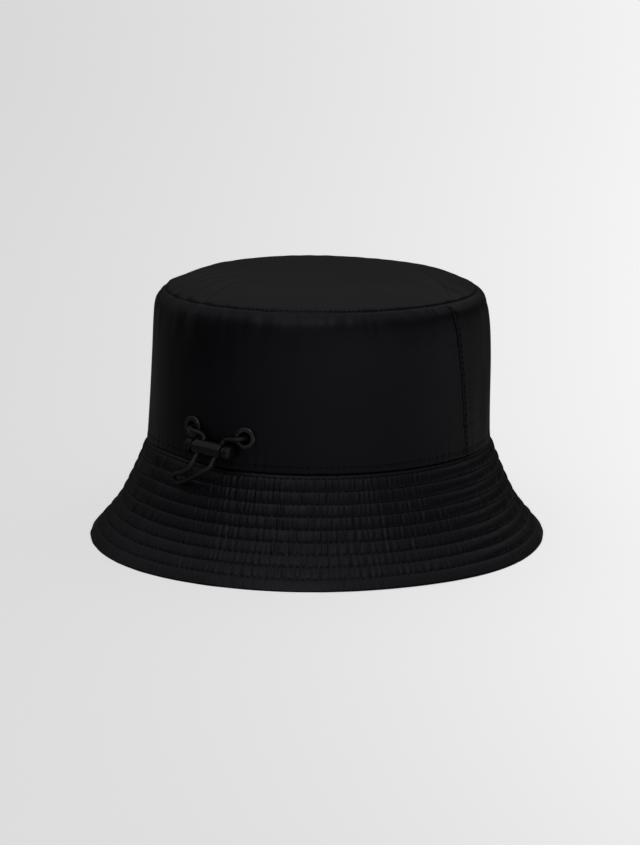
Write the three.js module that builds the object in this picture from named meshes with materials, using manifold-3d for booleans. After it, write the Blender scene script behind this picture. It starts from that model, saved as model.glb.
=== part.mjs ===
// A bucket hat with a drawcord and a twin-button cord lock at the back, millimetres, +Z up.
// The front of the hat faces -Y. The origin is under the head's centre, on the surface the brim rests on.
import * as THREE from 'three';
import { mergeVertices } from 'three/addons/utils/BufferGeometryUtils.js';
import Module from 'manifold-3d';

const wasm = await Module();
wasm.setup();

// ---- driving dimensions of the hat -------------------------------------------------------------------
const DEEPER = 8.8;                 // the head is this much longer from front to back, each way, than across
const SEAM_A = 88.2;                // half width at the seam between crown and brim
const SEAM_Z = 51.3;                // height of that seam
const TIP_A = 79.5;                 // half width at the seam round the tip
const TIP_Z = 131;                  // height of that seam
const TIP_RISE = 11.6;              // how far the tip domes up above its seam
const TIP_POWER = 2.6;              // 2 is a round dome, more is a flatter one
const EDGE_A = 118.3;               // half width at the brim's edge
const SHELL = 0.8;                  // thickness of the outer cloth
const LINING = 0.6;                 // thickness of the lining and the under cloth
const STIFFENER = 0.8;              // thickness of the brim's stiffener
const GAP = 0.3;                    // clearance between pieces that touch
const SEAM_GAP = 0.4;               // clearance left along the seams
const PULL_RISE = 2.2;              // the drawcord draws the seam up beside the centre back
const PULL_ANGLE = 66;              // where, in degrees from +X towards +Y
const PULL_WIDTH = 20;              // and how wide

// Half widths and heights of the wall and of the brim, each from its lower edge to its upper edge.
const wallLine = new THREE.SplineCurve([
  new THREE.Vector2(SEAM_A, SEAM_Z),
  new THREE.Vector2(87.3, 72),
  new THREE.Vector2(86.5, 97),
  new THREE.Vector2(85.6, 116),
  new THREE.Vector2(83.9, 125.6),
  new THREE.Vector2(TIP_A, TIP_Z),
]);
const brimLine = new THREE.SplineCurve([
  new THREE.Vector2(EDGE_A, 0),
  new THREE.Vector2(114.9, 4.2),
  new THREE.Vector2(109.2, 10.6),
  new THREE.Vector2(101.6, 21.2),
  new THREE.Vector2(94.3, 36.4),
  new THREE.Vector2(SEAM_A, SEAM_Z),
]);

// ---- driving dimensions of the drawcord, the eyelets and the lock ------------------------------------
const CORD_R = 1.2;
const EYELET_X = 15.7;              // each eyelet's centre from the centre back
const EYELET_Z = 68.9;              // height of the middle of the line through the eyelets
const EYELET_TILT = 3.6;            // the left eyelet is drawn up, degrees
const MOUTH_Y = 96.1;               // where the cord leaves the eyelets, which is also the loop's hinge line
const EYELET_HOLE_R = 3;
const EYELET_FLANGE_R = 5.6;
const EYELET_PROUD = 1.4;           // how far the flange stands out of the cloth
const LOCK_AT = [0.4, 5.8, -7.5];   // the lock's centre from the middle of the hinge line
const LOCK_PITCH = 42;              // the strands cross the lock at this angle to the vertical
const STRAND_X = 5.3;               // each strand from the lock's centre
const BARREL_R = 4.1;
const BARREL_HALF = 8;
const BORE_R = 3.1;
const STEM_R = 2.85;
const CAP_R = 3.9;
const CAP_LENGTH = 3.8;
const BUTTON_TRAVEL = 1.3;
const SPRING_R = 1.6;
const SPRING_WIRE_R = 0.3;
const SPRING_HALF = 2.6;
const SPRING_TURNS = 3.5;

// ---- resolution --------------------------------------------------------------------------------------
const HALF_STEPS = 20;              // steps round half the hat
const BRIM_STEPS = 6;               // steps down the brim
const ROUND = 16;                   // sides of small round pieces

const group = new THREE.Group();

function material(color, roughness, metalness = 0) {
  return new THREE.MeshStandardMaterial({ color, roughness, metalness });
}

const satin = () => material(0x151517, 0.55);
const liningCloth = () => material(0xd9bfa0, 0.75);
const stiffCloth = () => material(0xe4e0d8, 0.9);
const bandCloth = () => material(0x1c1c1e, 0.8);
const darkMetal = () => material(0x222326, 0.35, 0.9);
const blackPlastic = () => material(0x131315, 0.4);
const elastic = () => material(0x0f0f10, 0.8);
const springSteel = () => material(0x9a9ca0, 0.3, 1);

function place(name, geometry, look, parent = group) {
  const mesh = new THREE.Mesh(geometry, look);
  mesh.name = name;
  parent.add(mesh);
  return mesh;
}

// ---- mesh helpers ------------------------------------------------------------------------------------
function flipIfInsideOut(positions, index) {
  const at = (i) => new THREE.Vector3().fromArray(positions, 3 * i);
  let volume = 0;
  for (let i = 0; i < index.length; i += 3) {
    volume += at(index[i]).dot(at(index[i + 1]).cross(at(index[i + 2])));
  }
  if (volume >= 0) return index;
  const flipped = [];
  for (let i = 0; i < index.length; i += 3) {
    flipped.push(index[i], index[i + 2], index[i + 1]);
  }
  return flipped;
}

function buffer(positions, index) {
  const geometry = new THREE.BufferGeometry();
  geometry.setAttribute('position', new THREE.Float32BufferAttribute(positions, 3));
  geometry.setIndex(flipIfInsideOut(positions, index));
  return geometry;
}

// A closed sheet with a thickness. skin(u, v, side) gives a point, with u round the hat, v up the sheet,
// and side 0 on the outer face and 1 on the inner face. A closed sheet has no end walls.
function sheet(skin, uSteps, vSteps, closed) {
  const positions = [];
  const index = [];
  const columns = closed ? uSteps : uSteps + 1;
  const id = (u, v, side) => (side * columns + (u % columns)) * (vSteps + 1) + v;
  for (const side of [0, 1]) {
    for (let u = 0; u < columns; u++) {
      for (let v = 0; v <= vSteps; v++) {
        positions.push(...skin(u / uSteps, v / vSteps, side).toArray());
      }
    }
  }
  const quad = (a, b, c, d) => index.push(a, b, c, a, c, d);
  for (let u = 0; u < uSteps; u++) {
    for (let v = 0; v < vSteps; v++) {
      quad(id(u, v, 0), id(u + 1, v, 0), id(u + 1, v + 1, 0), id(u, v + 1, 0));
      quad(id(u, v, 1), id(u, v + 1, 1), id(u + 1, v + 1, 1), id(u + 1, v, 1));
    }
    quad(id(u, 0, 0), id(u, 0, 1), id(u + 1, 0, 1), id(u + 1, 0, 0));
    quad(id(u, vSteps, 0), id(u + 1, vSteps, 0), id(u + 1, vSteps, 1), id(u, vSteps, 1));
  }
  if (!closed) {
    for (let v = 0; v < vSteps; v++) {
      quad(id(0, v, 0), id(0, v + 1, 0), id(0, v + 1, 1), id(0, v, 1));
      quad(id(uSteps, v, 0), id(uSteps, v, 1), id(uSteps, v + 1, 1), id(uSteps, v + 1, 0));
    }
  }
  return buffer(positions, index);
}

function toSolid(geometry) {
  const bare = geometry.clone();
  bare.deleteAttribute('normal');
  bare.deleteAttribute('uv');
  const merged = mergeVertices(bare, 1e-4);
  return new wasm.Manifold(new wasm.Mesh({
    numProp: 3,
    vertProperties: merged.attributes.position.array,
    triVerts: new Uint32Array(merged.index.array),
  }));
}

function toGeometry(solid) {
  const mesh = solid.getMesh();
  const geometry = new THREE.BufferGeometry();
  geometry.setAttribute('position', new THREE.BufferAttribute(mesh.vertProperties, 3));
  geometry.setIndex(new THREE.BufferAttribute(mesh.triVerts, 1));
  return geometry;
}

function cut(geometry, ...cutters) {
  let solid = toSolid(geometry);
  for (const cutter of cutters) solid = solid.subtract(toSolid(cutter));
  return toGeometry(solid);
}

// A curve through the given points, measured along its own length.
function tube(points, radius, steps, sides) {
  const isCurve = points instanceof THREE.Curve;
  const path = isCurve ? points : new THREE.CatmullRomCurve3(points, false, 'centripetal');
  const section = new THREE.Shape();
  for (let i = 0; i < sides; i++) {
    const turn = (2 * Math.PI * i) / sides;
    const [x, y] = [radius * Math.cos(turn), radius * Math.sin(turn)];
    if (i === 0) section.moveTo(x, y);
    else section.lineTo(x, y);
  }
  return new THREE.ExtrudeGeometry(section, { steps, bevelEnabled: false, extrudePath: path });
}

// ---- the hat's surface -------------------------------------------------------------------------------
function pull(angle) {
  const away = (THREE.MathUtils.radToDeg(angle) - PULL_ANGLE) / PULL_WIDTH;
  return PULL_RISE * Math.exp(-away * away);
}

// A point of the surface that line describes: angle round the head, t up the line, and depth inwards from
// the outer face.
function surface(line, angle, t, depth, lift = 0) {
  const at = line.getPointAt(t);
  const along = line.getTangentAt(t);
  const reach = at.x - along.y * depth;
  const z = at.y + along.x * depth;
  return new THREE.Vector3(
    reach * Math.cos(angle),
    (reach + DEEPER) * Math.sin(angle),
    z + lift * pull(angle),
  );
}

// The drawcord's pull is strongest at the seam and dies out up the wall and down the brim.
const wallPoint = (angle, t, depth) => surface(wallLine, angle, t, depth, (1 - t) ** 2);
const brimPoint = (angle, t, depth) => surface(brimLine, angle, t, depth, t ** 2);

// Half a ring, front or back, with a clearance at both side seams. thickness(v) is its thickness v of the
// way up. The steps close up towards the top when crowding is over 1.
function halfSheet(pointOn, half, from, to, depth, thickness, vSteps, crowding = 1) {
  const start = half === 'back' ? 0 : Math.PI;
  const trim = SEAM_GAP / 2 / SEAM_A;
  const skin = (u, v, side) => {
    const angle = start + trim + u * (Math.PI - 2 * trim);
    const t = from + (1 - (1 - v) ** crowding) * (to - from);
    return pointOn(angle, t, depth + side * thickness(v));
  };
  return sheet(skin, HALF_STEPS, vSteps, false);
}

const UNDER_INSET = 0.03;           // shares of the brim's length left clear at its edge
const STIFFENER_INSET = 0.09;
const STIFFENER_END = 0.96;
const BRIM_END = 0.99;
const HEM = 1.6;                    // the outer cloth is turned under at the edge, so it is thicker there
const UNDER_LIFT = 0.5;             // the under cloth's edge stays clear of the surface

// A brim cloth whose edge is flat underneath, at the given height.
function brimHalf(half, depth, thickness, insetAtEdge, edgeHeight) {
  const geometry = halfSheet(brimPoint, half, insetAtEdge, BRIM_END, depth, thickness, BRIM_STEPS);
  const position = geometry.attributes.position;
  for (let i = 0; i < position.count; i += BRIM_STEPS + 1) position.setZ(i, edgeHeight);
  return geometry;
}

// A domed disc inside the tip seam.
function domedDisc(reach, depth, thickness, steps, rings) {
  const skin = (u, v, side) => {
    const angle = 2 * Math.PI * u;
    const out = 1 - v * (1 - 0.02);
    const a = reach * out;
    const b = (reach + DEEPER) * out;
    const z = TIP_Z + TIP_RISE * (1 - out ** TIP_POWER) - depth - side * thickness;
    return new THREE.Vector3(a * Math.cos(angle), b * Math.sin(angle), z);
  };
  const ring = sheet(skin, steps, rings, true);
  return closeMiddle(ring, steps, rings);
}

// Fills the small hole that a ring-shaped sheet leaves in the middle of a disc.
function closeMiddle(geometry, steps, rings) {
  const positions = Array.from(geometry.attributes.position.array);
  const index = Array.from(geometry.index.array);
  const inner = (u, side) => (side * steps + (u % steps)) * (rings + 1) + rings;
  const kept = [];
  const isInner = (i) => i % (rings + 1) === rings;
  for (let i = 0; i < index.length; i += 3) {
    if (index.slice(i, i + 3).every(isInner)) continue;
    kept.push(index[i], index[i + 1], index[i + 2]);
  }
  for (const side of [0, 1]) {
    const centre = positions.length / 3;
    positions.push(0, 0, positions[3 * inner(0, side) + 2]);
    for (let u = 0; u < steps; u++) {
      if (side === 0) kept.push(centre, inner(u, side), inner(u + 1, side));
      else kept.push(centre, inner(u + 1, side), inner(u, side));
    }
  }
  return buffer(positions, kept);
}

// ---- the drawcord's own frame ------------------------------------------------------------------------
// X runs along the line through the eyelets, Y out of the hat, and the origin is the middle of that line.
const cordFrame = new THREE.Group();
cordFrame.position.set(0, MOUTH_Y, EYELET_Z);
cordFrame.rotation.y = -THREE.MathUtils.degToRad(EYELET_TILT);
cordFrame.updateMatrixWorld(true);
group.add(cordFrame);

const WALL_LEAN = 0.045;            // the wall leans in by this much for each unit of height at the eyelets

// Where an eyelet sits on the wall: its centre on the cloth and the way that it faces.
function eyeletSeat(side) {
  const mouth = new THREE.Vector3(side * EYELET_X, 0, 0).applyMatrix4(cordFrame.matrixWorld);
  const reach = wallLine.getPointAt((EYELET_Z - SEAM_Z) / wallLine.getLength()).x;
  const facing = new THREE.Vector3(mouth.x / reach ** 2, mouth.y / (reach + DEEPER) ** 2, 0).normalize();
  facing.setZ(WALL_LEAN).normalize();
  const y = (reach + DEEPER) * Math.sqrt(1 - (mouth.x / reach) ** 2);
  return { centre: new THREE.Vector3(mouth.x, y, mouth.z), facing };
}

function seated(geometry, side) {
  const { centre, facing } = eyeletSeat(side);
  const turn = new THREE.Quaternion().setFromUnitVectors(new THREE.Vector3(0, 1, 0), facing);
  return geometry.applyQuaternion(turn).translate(centre.x, centre.y, centre.z);
}

// A drill through the cloth at an eyelet, wide enough to clear the eyelet's neck.
const NECK_R = 3.5;
function eyeletDrill(side, clearance = GAP) {
  return seated(new THREE.CylinderGeometry(NECK_R + clearance, NECK_R + clearance, 24, ROUND), side);
}

// ---- crown -------------------------------------------------------------------------------------------
const TIP_INSET = 0.012;            // share of the wall's length left clear at the seam round the tip
const BASE_INSET = 0.006;           // and at the seam with the brim
const WALL_TOP = 1 - TIP_INSET;
const WALL_STEPS = 6;
const WALL_CROWDING = 1.7;

function crownPanel(half) {
  return wallPanel(half, 0, () => SHELL);
}

function liningPanel(half) {
  return wallPanel(half, LINING_DEPTH, () => LINING);
}

function wallPanel(half, depth, thickness) {
  const panel = halfSheet(wallPoint, half, BASE_INSET, WALL_TOP, depth, thickness, WALL_STEPS, WALL_CROWDING);
  return half === 'back' ? cut(panel, eyeletDrill(1), eyeletDrill(-1)) : panel;
}

const PATCH_HALF = 28;              // half the patch's length
const PATCH_LOW = 0.1;              // shares of the wall's length
const PATCH_HIGH = 0.32;
const PATCH_DEPTH = SHELL + GAP;
const PATCH_THICKNESS = 0.5;
const LINING_DEPTH = PATCH_DEPTH + PATCH_THICKNESS + GAP;
const TIP_LINING_DEPTH = SHELL + GAP;

// The patch behind both eyelets, cut from one strip of cloth.
function backingPatch() {
  const middle = Math.PI / 2;
  const halfAngle = PATCH_HALF / SEAM_A;
  const skin = (u, v, side) => wallPoint(
    middle + (u - 0.5) * 2 * halfAngle,
    PATCH_LOW + v * (PATCH_HIGH - PATCH_LOW),
    PATCH_DEPTH + side * PATCH_THICKNESS,
  );
  return cut(sheet(skin, 8, 2, false), eyeletDrill(1), eyeletDrill(-1));
}

// ---- sweatband ---------------------------------------------------------------------------------------
// The band is sewn down along both edges and stands off the lining over the cord.
const BAND_LOW = 0.012;             // shares of the wall's length
const BAND_HIGH = 0.42;
const BAND_DEPTH = LINING_DEPTH + LINING + GAP;
const BAND_BULGE = 4.4;
const BAND_THICKNESS = 0.7;
const bandBulge = (v) => BAND_BULGE * Math.sin(Math.PI * v) ** 0.7;

function sweatband() {
  const trim = 0.006;               // the ends meet at the centre back with a small gap
  const start = Math.PI / 2;
  const skin = (u, v, side) => wallPoint(
    start + trim + u * (2 * Math.PI - 2 * trim),
    BAND_LOW + v * (BAND_HIGH - BAND_LOW),
    BAND_DEPTH + bandBulge(v) + side * BAND_THICKNESS,
  );
  return sheet(skin, 2 * HALF_STEPS, 5, false);
}

const LABEL_AT = 118;               // degrees from +X towards +Y
const LABEL_TURN = 0.32;            // radians that it spans
const LABEL_LOW = 0.44;
const LABEL_RISE = 0.2;
const LABEL_THICKNESS = 0.4;

// A blank fabric label that hangs from the band's upper edge at the wearer's right of the centre back.
function careLabel() {
  const middle = THREE.MathUtils.degToRad(LABEL_AT);
  const skin = (u, v, side) => wallPoint(
    middle + (u - 0.5) * LABEL_TURN,
    LABEL_LOW + v * LABEL_RISE,
    BAND_DEPTH + side * LABEL_THICKNESS,
  );
  return sheet(skin, 4, 2, false);
}

// ---- eyelets -----------------------------------------------------------------------------------------
// The section is drawn as radius and height along the eyelet's axis, with the cloth's face at height 0.
const WASHER_R = 5.4;
const WASHER_TOP = -(LINING_DEPTH + LINING + 0.6);
const WASHER_BOTTOM = WASHER_TOP - 0.4;

function eyelet(side) {
  const lipTop = WASHER_BOTTOM - GAP;
  const lipBottom = lipTop - 0.5;
  const lipR = NECK_R + 0.8;
  const section = [
    [EYELET_HOLE_R, lipBottom],
    [lipR, lipBottom],
    [lipR, lipTop],
    [NECK_R, lipTop],
    [NECK_R, GAP],
    [EYELET_FLANGE_R, GAP],
    [EYELET_FLANGE_R, 0.8],
    [4.9, EYELET_PROUD],
    [3.9, EYELET_PROUD],
    [EYELET_HOLE_R, 0.8],
    [EYELET_HOLE_R, lipBottom],
  ].map(([r, y]) => new THREE.Vector2(r, y));
  return seated(new THREE.LatheGeometry(section, ROUND), side);
}

function washer(side) {
  const inner = NECK_R + 0.15;
  const section = [
    [inner, WASHER_BOTTOM],
    [WASHER_R, WASHER_BOTTOM],
    [WASHER_R, WASHER_TOP],
    [inner, WASHER_TOP],
    [inner, WASHER_BOTTOM],
  ].map(([r, y]) => new THREE.Vector2(r, y));
  return seated(new THREE.LatheGeometry(section, ROUND), side);
}

// ---- drawcord ----------------------------------------------------------------------------------------
const lockCentre = new THREE.Vector3(...LOCK_AT);
const pitch = THREE.MathUtils.degToRad(LOCK_PITCH);
const strandWay = new THREE.Vector3(0, Math.sin(pitch), -Math.cos(pitch));
const onStrand = (side, along) => new THREE.Vector3(side * STRAND_X, 0, 0)
  .add(lockCentre)
  .addScaledVector(strandWay, along);
const v3 = (x, y, z) => new THREE.Vector3(x, y, z);

// Out of the left eyelet, through the lock, round the hanging loop and back to the right eyelet.
const outsideRoute = [
  v3(15.7, 0.3, 0), v3(15.5, 1.7, 0), v3(14, 3.2, -0.3), v3(11.4, 3.5, -0.7), v3(8.7, 2.7, -1.3),
  v3(6.5, 2.2, -2.9),
  onStrand(1, -3.2), onStrand(1, 0), onStrand(1, 3), onStrand(1, 6.5), onStrand(1, 9.5),
  v3(7, 13.6, -17.4), v3(10.4, 12.7, -19.8), v3(14.4, 10.4, -21.6), v3(18, 8, -23.1), v3(20.6, 5.9, -24.6),
  v3(21.5, 5, -26.6), v3(19.9, 5.2, -28.2), v3(16.8, 6.4, -27.7), v3(12.6, 8.5, -25.8), v3(8.1, 10.8, -23.3),
  v3(3.4, 12.8, -20.4), v3(-1.2, 13.8, -17.6),
  onStrand(-1, 9), onStrand(-1, 6), onStrand(-1, 3), onStrand(-1, 0), onStrand(-1, -3.2),
  v3(-5.8, 2.2, -2.9), v3(-8.2, 2.6, -1.5), v3(-11.2, 3.4, -0.8), v3(-14, 3.2, -0.3), v3(-15.5, 1.7, 0),
  v3(-15.7, 0.3, 0),
];

// The run round the head lies between the lining and the sweatband and turns out through the eyelets.
function insideRoute() {
  const depth = BAND_DEPTH + CORD_R + 1.7;
  const height = (EYELET_Z - SEAM_Z) / wallLine.getLength();
  const points = [];
  const ends = [1, -1].map((side) => {
    const { centre, facing } = eyeletSeat(side);
    const away = v3(side * facing.y, -side * facing.x, 0);
    const at = (along, aside = 0) => centre.clone()
      .addScaledVector(facing, along)
      .addScaledVector(away, aside);
    return [at(1.2), at(-1.4, -0.3), at(-3.4, -0.4), at(-4.9, 0.3), at(-5.8, 1.8)];
  });
  const turnIn = THREE.MathUtils.degToRad(14);
  const [first, last] = [Math.PI / 2 - turnIn, Math.PI / 2 + turnIn - 2 * Math.PI];
  points.push(...ends[0]);
  const count = 30;
  for (let i = 0; i <= count; i++) {
    const angle = first + ((last - first) * i) / count;
    points.push(surface(wallLine, angle, height, depth, 0.6));
  }
  points.push(...ends[1].reverse());
  return points;
}

// ---- cord lock ---------------------------------------------------------------------------------------
// Built with X along the barrel, Y along the strands and its centre at the origin, then turned into place.
const lockFrame = new THREE.Group();
lockFrame.position.copy(lockCentre);
lockFrame.rotation.x = pitch - Math.PI / 2;
cordFrame.add(lockFrame);

const STRAND_HOLE_R = 1.55;
const strandDrill = (side) => new THREE.CylinderGeometry(STRAND_HOLE_R, STRAND_HOLE_R, 20, ROUND)
  .translate(side * STRAND_X, 0, 0);

// A tube along X with shallow flutes round its outside.
function barrel() {
  const flutes = 14;
  const depth = 0.35;
  const outline = new THREE.Shape();
  for (let i = 0; i < 2 * flutes; i++) {
    const turn = (Math.PI * i) / flutes;
    const r = i % 2 ? BARREL_R - depth : BARREL_R;
    if (i === 0) outline.moveTo(r, 0);
    else outline.lineTo(r * Math.cos(turn), r * Math.sin(turn));
  }
  const bore = new THREE.Path().absarc(0, 0, BORE_R, 0, 2 * Math.PI, true);
  outline.holes.push(bore);
  const body = new THREE.ExtrudeGeometry(outline, {
    depth: 2 * BARREL_HALF, bevelEnabled: false, curveSegments: ROUND / 2,
  });
  body.translate(0, 0, -BARREL_HALF).rotateY(Math.PI / 2);
  return cut(body, strandDrill(1), strandDrill(-1));
}

// A ribbed cap on a slotted stem. The slot lets the strand through and leaves room for the travel.
const STEM_START = 2.9;
const SLOT_START = 3.85;
const SLOT_CLEAR = 0.25;
const CAP_START = BARREL_HALF + BUTTON_TRAVEL + 0.3;

function button(side) {
  const section = [
    [0, STEM_START],
    [STEM_R, STEM_START],
    [STEM_R, CAP_START],
    [CAP_R - 0.3, CAP_START],
    [CAP_R, CAP_START + 0.6],
    [CAP_R - 0.35, CAP_START + 1.1],
    [CAP_R, CAP_START + 1.6],
    [CAP_R - 0.35, CAP_START + 2.1],
    [CAP_R, CAP_START + 2.6],
    [CAP_R - 0.9, CAP_START + CAP_LENGTH - 0.2],
    [0, CAP_START + CAP_LENGTH],
  ].map(([r, y]) => new THREE.Vector2(r, y));
  const body = new THREE.LatheGeometry(section, ROUND).rotateZ(-side * Math.PI / 2);
  const slotEnd = STRAND_X + CORD_R + BUTTON_TRAVEL + SLOT_CLEAR;
  const slot = new THREE.BoxGeometry(slotEnd - SLOT_START, 12, 2 * (CORD_R + SLOT_CLEAR));
  slot.translate(side * (SLOT_START + slotEnd) / 2, 0, 0);
  return cut(body, slot);
}

class Helix extends THREE.Curve {
  getPoint(t, target = new THREE.Vector3()) {
    const turn = 2 * Math.PI * SPRING_TURNS * t;
    const half = SPRING_HALF - SPRING_WIRE_R;
    return target.set(-half + 2 * half * t, SPRING_R * Math.cos(turn), SPRING_R * Math.sin(turn));
  }
}

// ---- assembly ----------------------------------------------------------------------------------------
place('crown_tip', domedDisc(TIP_A - SEAM_GAP, 0, SHELL, 2 * HALF_STEPS, 4), satin());
place('tip_lining', domedDisc(TIP_A - 4, TIP_LINING_DEPTH, LINING, 2 * HALF_STEPS, 3), liningCloth());

for (const half of ['front', 'back']) {
  place(`crown_${half}_panel`, crownPanel(half), satin());
  place(`lining_${half}_panel`, liningPanel(half), liningCloth());
  place(`brim_top_${half}`, brimHalf(half, 0, (v) => (v === 0 ? HEM : SHELL), 0, 0), satin());
  const stiffenerDepth = SHELL + GAP;
  const stiffener = halfSheet(
    brimPoint, half, STIFFENER_INSET, STIFFENER_END, stiffenerDepth, () => STIFFENER, BRIM_STEPS - 1);
  place(`brim_interlining_${half}`, stiffener, stiffCloth());
  const underDepth = stiffenerDepth + STIFFENER + GAP;
  const underCloth = brimHalf(half, underDepth, () => LINING, UNDER_INSET, UNDER_LIFT);
  place(`brim_under_${half}`, underCloth, liningCloth());
}

place('sweatband', sweatband(), bandCloth());
place('care_label', careLabel(), material(0xe9e6df, 0.8));
place('eyelet_backing_patch', backingPatch(), bandCloth());

for (const [name, side] of [['left', 1], ['right', -1]]) {
  place(`eyelet_${name}`, eyelet(side), darkMetal());
  place(`eyelet_${name}_washer`, washer(side), darkMetal());
}

place('drawcord_inside', tube(insideRoute(), CORD_R, 72, 8), elastic());
place('drawcord_outside', tube(outsideRoute, CORD_R, 56, 8), elastic(), cordFrame);

place('lock_barrel', barrel(), blackPlastic(), lockFrame);
place('lock_left_button', button(1), blackPlastic(), lockFrame);
place('lock_right_button', button(-1), blackPlastic(), lockFrame);
place('lock_spring', tube(new Helix(), SPRING_WIRE_R, 36, 6), springSteel(), lockFrame);

export default group;
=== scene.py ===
# %% [markdown]
# A black bucket hat with an elastic drawcord and a cord lock at the back.
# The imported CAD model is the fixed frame. It gives the places, the sizes and the joints, and this file makes
# the looks round it: the sewn cloths, the rows of stitching, the cord, and the finish of each surface.
# Sizes are written in millimetres, as a hat maker would say them, and MM turns them into metres.

# %% Load the frame
import math

import bmesh
import bpy
import numpy as np
from mathutils import Matrix, Quaternion, Vector


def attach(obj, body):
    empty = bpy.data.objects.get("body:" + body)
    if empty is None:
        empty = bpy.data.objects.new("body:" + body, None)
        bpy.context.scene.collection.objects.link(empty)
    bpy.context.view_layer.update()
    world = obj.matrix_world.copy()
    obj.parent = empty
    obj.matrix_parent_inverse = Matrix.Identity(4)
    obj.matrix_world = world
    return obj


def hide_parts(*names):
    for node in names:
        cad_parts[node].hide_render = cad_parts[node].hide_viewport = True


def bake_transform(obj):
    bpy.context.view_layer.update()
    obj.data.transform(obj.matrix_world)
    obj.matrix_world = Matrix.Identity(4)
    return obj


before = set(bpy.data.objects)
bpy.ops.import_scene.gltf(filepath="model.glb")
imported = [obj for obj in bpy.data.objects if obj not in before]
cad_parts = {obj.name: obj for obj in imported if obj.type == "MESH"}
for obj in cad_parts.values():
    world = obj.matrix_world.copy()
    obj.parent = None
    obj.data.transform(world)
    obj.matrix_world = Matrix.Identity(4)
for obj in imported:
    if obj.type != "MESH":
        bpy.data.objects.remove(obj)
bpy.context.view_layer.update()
MM = 0.001
bpy.ops.object.select_all(action="DESELECT")

# %% [markdown]
# The camera stands behind the hat, to the wearer's right, a little above the brim, and looks at the middle
# of the hat. A long lens keeps the ellipses of the brim and the crown calm, as on a studio product shot.

# %% Camera
CAMERA_AZIMUTH = 211.8
CAMERA_ELEVATION = 11.86
CAMERA_DISTANCE = 1.2
CAMERA_LENS = 96.2
CAMERA_AIM = Vector((0, 0, 57.9)) * MM
CAMERA_ROLL = math.radians(1.0)


def look_from(azimuth, elevation):
    a, e = math.radians(azimuth), math.radians(elevation)
    return Vector((math.sin(a) * math.cos(e), -math.cos(a) * math.cos(e), math.sin(e)))


def make_camera():
    data = bpy.data.cameras.new("camera")
    data.lens = CAMERA_LENS
    camera = bpy.data.objects.new("camera", data)
    bpy.context.collection.objects.link(camera)
    back = look_from(CAMERA_AZIMUTH, CAMERA_ELEVATION)
    camera.location = CAMERA_AIM + back * CAMERA_DISTANCE
    camera.rotation_mode = "QUATERNION"
    camera.rotation_quaternion = (-back).to_track_quat("-Z", "Y") @ Quaternion((0, 0, 1), CAMERA_ROLL)
    bpy.context.scene.camera = camera
    return camera


camera = make_camera()
print("camera at", tuple(round(c, 3) for c in camera.location))

# %% [markdown]
# The drawcord is one braided elastic. Outside the hat it comes out of the left eyelet, runs through the lock,
# hangs in a loop on the brim, and goes back through the lock to the right eyelet. Its route is a list of points
# in the cord's own frame: X along the line through the eyelets, Y out of the hat, Z up. A smooth curve goes
# through the points, so the bends stay round.

# %% The cord's frame and the lock's frame
MOUTH_Y = 96.1
EYELET_Z = 68.9
EYELET_X = 15.7
EYELET_TILT = math.radians(3.6)
LOCK_AT = Vector((0.4, 5.8, -7.5))
LOCK_PITCH = math.radians(42)
STRAND_X = 5.3
CORD_R = 1.2

CORD_FRAME = Matrix.Translation((0, MOUTH_Y, EYELET_Z)) @ Matrix.Rotation(-EYELET_TILT, 4, "Y")
LOCK_FRAME = CORD_FRAME @ Matrix.Translation(LOCK_AT) @ Matrix.Rotation(LOCK_PITCH - math.pi / 2, 4, "X")
STRAND_WAY = Vector((0, math.sin(LOCK_PITCH), -math.cos(LOCK_PITCH)))


def on_strand(side, along):
    return LOCK_AT + Vector((side * STRAND_X, 0, 0)) + STRAND_WAY * along


# %% The cord's route outside the hat
OUT_OF_LEFT = [
    (15.95, -2.4, 0), (15.7, 0.3, 0), (15.5, 1.7, 0), (14, 3.2, -0.3), (11.4, 3.5, -0.7), (8.7, 2.7, -1.3),
    (6.5, 2.2, -2.9),
]
HANGING_LOOP = [
    (7, 13.6, -17.4), (10.4, 12.7, -19.8), (14.4, 10.4, -21.6), (18, 8, -23.1), (20.6, 5.9, -24.6),
    (21.5, 5, -26.6), (19.9, 5.2, -28.2), (16.8, 6.4, -27.7), (12.6, 8.5, -25.8), (8.1, 10.8, -23.3),
    (3.4, 12.8, -20.4), (-1.2, 13.8, -17.6),
]
INTO_RIGHT = [
    (-5.8, 2.2, -2.9), (-8.2, 2.6, -1.5), (-11.2, 3.4, -0.8), (-14, 3.2, -0.3), (-15.5, 1.7, 0),
    (-15.7, 0.3, 0), (-15.95, -2.4, 0),
]
DOWN_THROUGH_LOCK = [on_strand(1, along) for along in (-3.2, 0, 3, 6.5, 9.5)]
UP_THROUGH_LOCK = [on_strand(-1, along) for along in (9, 6, 3, 0, -3.2)]
CORD_ROUTE = [Vector(p) for p in OUT_OF_LEFT + DOWN_THROUGH_LOCK + HANGING_LOOP + UP_THROUGH_LOCK + INTO_RIGHT]


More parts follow.
